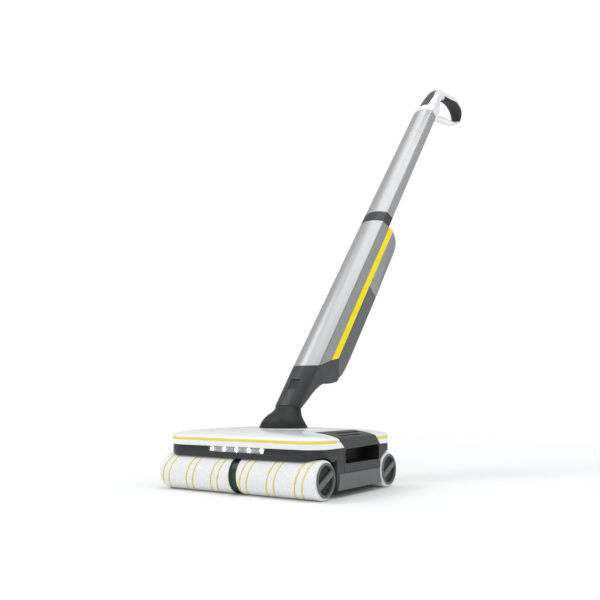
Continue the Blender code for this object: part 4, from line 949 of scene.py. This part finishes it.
STEM = ((TUBE_TOP + GAP, 0.0248, -0.0090, 0.0262), (1.0180, 0.0242, -0.0084, 0.0290),
        (1.0400, 0.0222, -0.0064, 0.0370),
        (1.0650, 0.0192, -0.0030, 0.0400), (1.0900, 0.0168, 0.0020, 0.0420), (1.1150, 0.0152, 0.0090, 0.0450),
        (1.1300, 0.0120, 0.0160, 0.0460))
PANEL_SPAN = ((1.0200, 0.0098), (1.0450, 0.0102), (1.0700, 0.0100), (1.0950, 0.0092), (1.1150, 0.0078))
BUTTONS = (("power_button", 1.0820, 0.0060), ("boost_button", 1.0560, 0.0048))
LOOP_SLICES = ((-0.0145, 0.0100), (-0.0139, 0.0075), (-0.0125, 0.0040), (-0.0095, 0.0015), (-0.0060, 0.0003),
               (0.0060, 0.0003), (0.0095, 0.0015), (0.0125, 0.0040), (0.0139, 0.0075), (0.0145, 0.0100))
OPENING_SLICES = ((-0.0300, 0.0120), (-0.0145, 0.0120), (-0.0137, 0.0082), (-0.0122, 0.0050),
                  (-0.0094, 0.0022),
                  (-0.0060, 0.0006), (0.0060, 0.0006), (0.0094, 0.0022), (0.0122, 0.0050), (0.0137, 0.0082),
                  (0.0145, 0.0120), (0.0300, 0.0120))


def loop_slab(points, slices, way):
    """The closed level outline grown (way 1) or shrunk (way -1) slice by slice across the stick."""
    return loft([[(x, y, up) for y, up in level_loop(grow(list(points), way * amount), 5)] for x,
                 amount in slices])


def stem_at(up):
    for (z0, half0, front0, _), (z1, half1, front1, _) in zip(STEM, STEM[1:]):
        if z0 <= up <= z1:
            share = (up - z0) / (z1 - z0)
            return half0 + (half1 - half0) * share, front0 + (front1 - front0) * share
    return STEM[-1][1], STEM[-1][2]


def stem_ring(up, half, front, back):
    slope = TOP_SLOPE * min(1.0, max(0.0, (1.06 - up) / 0.06))
    corner = min(0.0060, half * 0.4)
    depth = 0.0086
    ring = []
    for x, y in bulged(half, 0.0, back - front, corner, 32):
        at = front + y + (depth * (x / half) ** 2 if y <= 0.0 else 0.0)
        ring.append((x, at, up + slope * at))
    return ring


def panel_rings(grown, proud, depth, steps=4):
    rings = []
    rows = smooth_rows(PANEL_SPAN, steps)
    for i, (up, half) in enumerate(rows):
        edge = -grown if i == 0 else grown if i == len(rows) - 1 else 0.0
        front = stem_at(up)[1]
        rings.append([(-half - grown, front - proud, up + edge), (half + grown, front - proud, up + edge),
                      (half + grown, front + depth, up + edge), (-half - grown, front + depth, up + edge)])
    return rings


def build_handle():
    zone = [level_point(*point) for point in GRIP_ZONE]
    loop = new_object("handle_frame", loop_slab(LOOP_OUTSIDE, LOOP_SLICES, -1), STICK_SPACE)
    carve(loop, loft([stem_ring(*row) for row in smooth_rows(STEM, 2)]), STICK_SPACE, "UNION")
    carve(loop, loop_slab(LOOP_OPENING, OPENING_SLICES, 1), STICK_SPACE)
    organic(loop, 0.0010, 3)
    grip = new_object("handle_cushion", loop_slab(LOOP_OUTSIDE, LOOP_SLICES, -1), STICK_SPACE)
    carve(grip, loop_slab(LOOP_OPENING, OPENING_SLICES, 1), STICK_SPACE)
    organic(grip, 0.0010, 3)
    cut_across(loop, grow(zone, GAP))
    carve(loop, loft(panel_rings(GAP, 0.0200, 0.0023)), STICK_SPACE)
    cut_across(grip, zone, "INTERSECT")
    level(grip)
    dress(grip, "stick", GRIP_BLACK, ["handle_grip"], 30)
    panel = new_object("panel_face", loft(panel_rings(0.0, 0.0003, 0.0020)), STICK_SPACE)
    for name, up, radius in BUTTONS:
        front = stem_at(up)[1]
        seat = [(front - 0.02, radius + 0.0004), (front + 0.0070, radius + 0.0004)]
        carve(panel, turned(seat, "Y", (0.0, up), 48), STICK_SPACE)
        carve(loop, turned(seat, "Y", (0.0, up), 48), STICK_SPACE)
        key = [(front - 0.0009, 0.0002), (front - 0.0010, radius * 0.55), (front - 0.0011, radius - 0.0010),
               (front - 0.0009, radius - 0.0003), (front - 0.0004, radius), (front + 0.0045, radius)]
        made = new_object("key_" + name, turned(key, "Y", (0.0, up), 48), STICK_SPACE)
        dress(made, name, BLACK, [name], 35)
    level(loop)
    dress(loop, "stick", WHITE, ["handle_loop"], 30)
    dress(panel, "stick", BELLY, ["control_panel"], 30)


# ---------------------------------------------------------------- CAD pieces kept as they are
KEPT = {"chassis": BLACK, "neck_well": BLACK, "pivot_pin": STEEL, "gear_case": BLACK, "front_axle": STEEL,
        "rear_axle": STEEL,
        "idler_gear": NYLON, "motor_pinion": STEEL, "drive_motor": STEEL, "drive_belt": RUBBER,
        "front_wiper": RUBBER,
        "rear_wiper": RUBBER, "water_bar": NYLON, "battery_pack": WRAP, "control_board": BOARD,
        "water_pump": CAP_GREY}
for _side, _ in SIDES:
    KEPT["dirty_tank_" + _side] = TANK_GREY
    for _end in ("front", "rear"):
        KEPT["roller_core_%s_%s" % (_end, _side)] = GREEN


def dress_kept():
    for name, material in KEPT.items():
        node = frame["nodes"][name]
        if not node.material_slots:
            node.data.materials.append(material)
        for place in node.material_slots:
            place.material = material


# ---------------------------------------------------------------- stage, light and camera
LIGHTS = (("key", (-2.6, -2.0, 4.2), (0.0, 0.0, 0.3), (2.2, 2.2), 70),
          ("top", (0.5, 0.3, 5.0), (0.0, 0.0, 0.3), (4.0, 4.0), 90),
          ("front", (1.8, -5.2, 1.6), (0.0, -0.2, 0.3), (3.4, 2.2), 42),
          ("right", (4.6, 1.6, 1.4), (0.0, 0.0, 0.4), (2.0, 2.6), 30))


def build_stage():
    bm = bmesh.new()
    for x, y in ((-8, -8), (8, -8), (8, 8), (-8, 8)):
        bm.verts.new((x, y, 0.0))
    bm.faces.new(bm.verts[:])
    floor = new_object("floor", bm, Matrix())
    pale = Shader("floor_pale", (0.93, 0.93, 0.93), 0.60, specular=0.1).vary_colour(0.01, 2)
    glow = pale.node("ShaderNodeEmission", Strength=1.0)
    blend = pale.node("ShaderNodeMixShader")
    ground = pale.node("ShaderNodeVectorMath", operation="LENGTH")
    pale.links.new(pale.coords((1.0, 1.0, 0.0)), ground.inputs[0])
    pale.links.new(pale.spread(ground.outputs["Value"], 0.0, 1.0, 0.55, 1.30), blend.inputs[0])
    pale.links.new(pale.shader.outputs[0], blend.inputs[1])
    pale.links.new(glow.outputs[0], blend.inputs[2])
    pale.links.new(blend.outputs[0], pale.nodes["Material Output"].inputs["Surface"])
    floor.data.materials.append(pale.material)

    world = bpy.data.worlds.new("studio")
    bpy.context.scene.world = world
    world.use_nodes = True
    nodes, links = world.node_tree.nodes, world.node_tree.links
    room = nodes["Background"]
    room.inputs["Color"].default_value = (0.97, 0.985, 1.0, 1.0)
    room.inputs["Strength"].default_value = 0.60
    backdrop = nodes.new("ShaderNodeBackground")
    backdrop.inputs["Color"].default_value = (1.0, 1.0, 1.0, 1.0)
    backdrop.inputs["Strength"].default_value = 1.0
    blend = nodes.new("ShaderNodeMixShader")
    links.new(nodes.new("ShaderNodeLightPath").outputs["Is Camera Ray"], blend.inputs[0])
    links.new(room.outputs[0], blend.inputs[1])
    links.new(backdrop.outputs[0], blend.inputs[2])
    links.new(blend.outputs[0], nodes["World Output"].inputs["Surface"])
    for name, at, aim, size, power in LIGHTS:
        light = bpy.data.lights.new(name, "AREA")
        light.shape = "RECTANGLE"
        light.size, light.size_y = size
        light.energy = power
        holder = bpy.data.objects.new(name, light)
        holder.location = at
        holder.rotation_euler = (Vector(aim) - Vector(at)).to_track_quat("-Z", "Y").to_euler()
        bpy.context.scene.collection.objects.link(holder)


def build_camera():
    azimuth, pitch = radians(33.4985), radians(7.409)
    camera = bpy.data.cameras.new("camera")
    camera.lens = 44.15
    camera.sensor_width = 36.0
    holder = bpy.data.objects.new("camera", camera)
    bpy.context.scene.collection.objects.link(holder)
    holder.location = (0.7153, HEAD_Y - 1.0216, 0.1501)
    forward = Vector((-sin(azimuth) * cos(pitch), cos(azimuth) * cos(pitch), sin(pitch)))
    holder.rotation_euler = forward.to_track_quat("-Z", "Y").to_euler()
    bpy.context.scene.camera = holder
    bpy.context.scene.view_settings.view_transform = "Standard"


build_camera()
build_stage()
build_cover()
build_cover_rim()
build_trims()
build_bumpers()
build_lamps()
for _side, _sign in SIDES:
    build_side(_side, _sign)
    build_tank_cover(_side, _sign)
    build_slot_floors(_side, _sign)
    for _end in ("front", "rear"):
        build_roller(_end, _side, _sign)
build_neck()
build_foot()
build_body()
build_rear()
build_upper()
build_handle()
dress_kept()
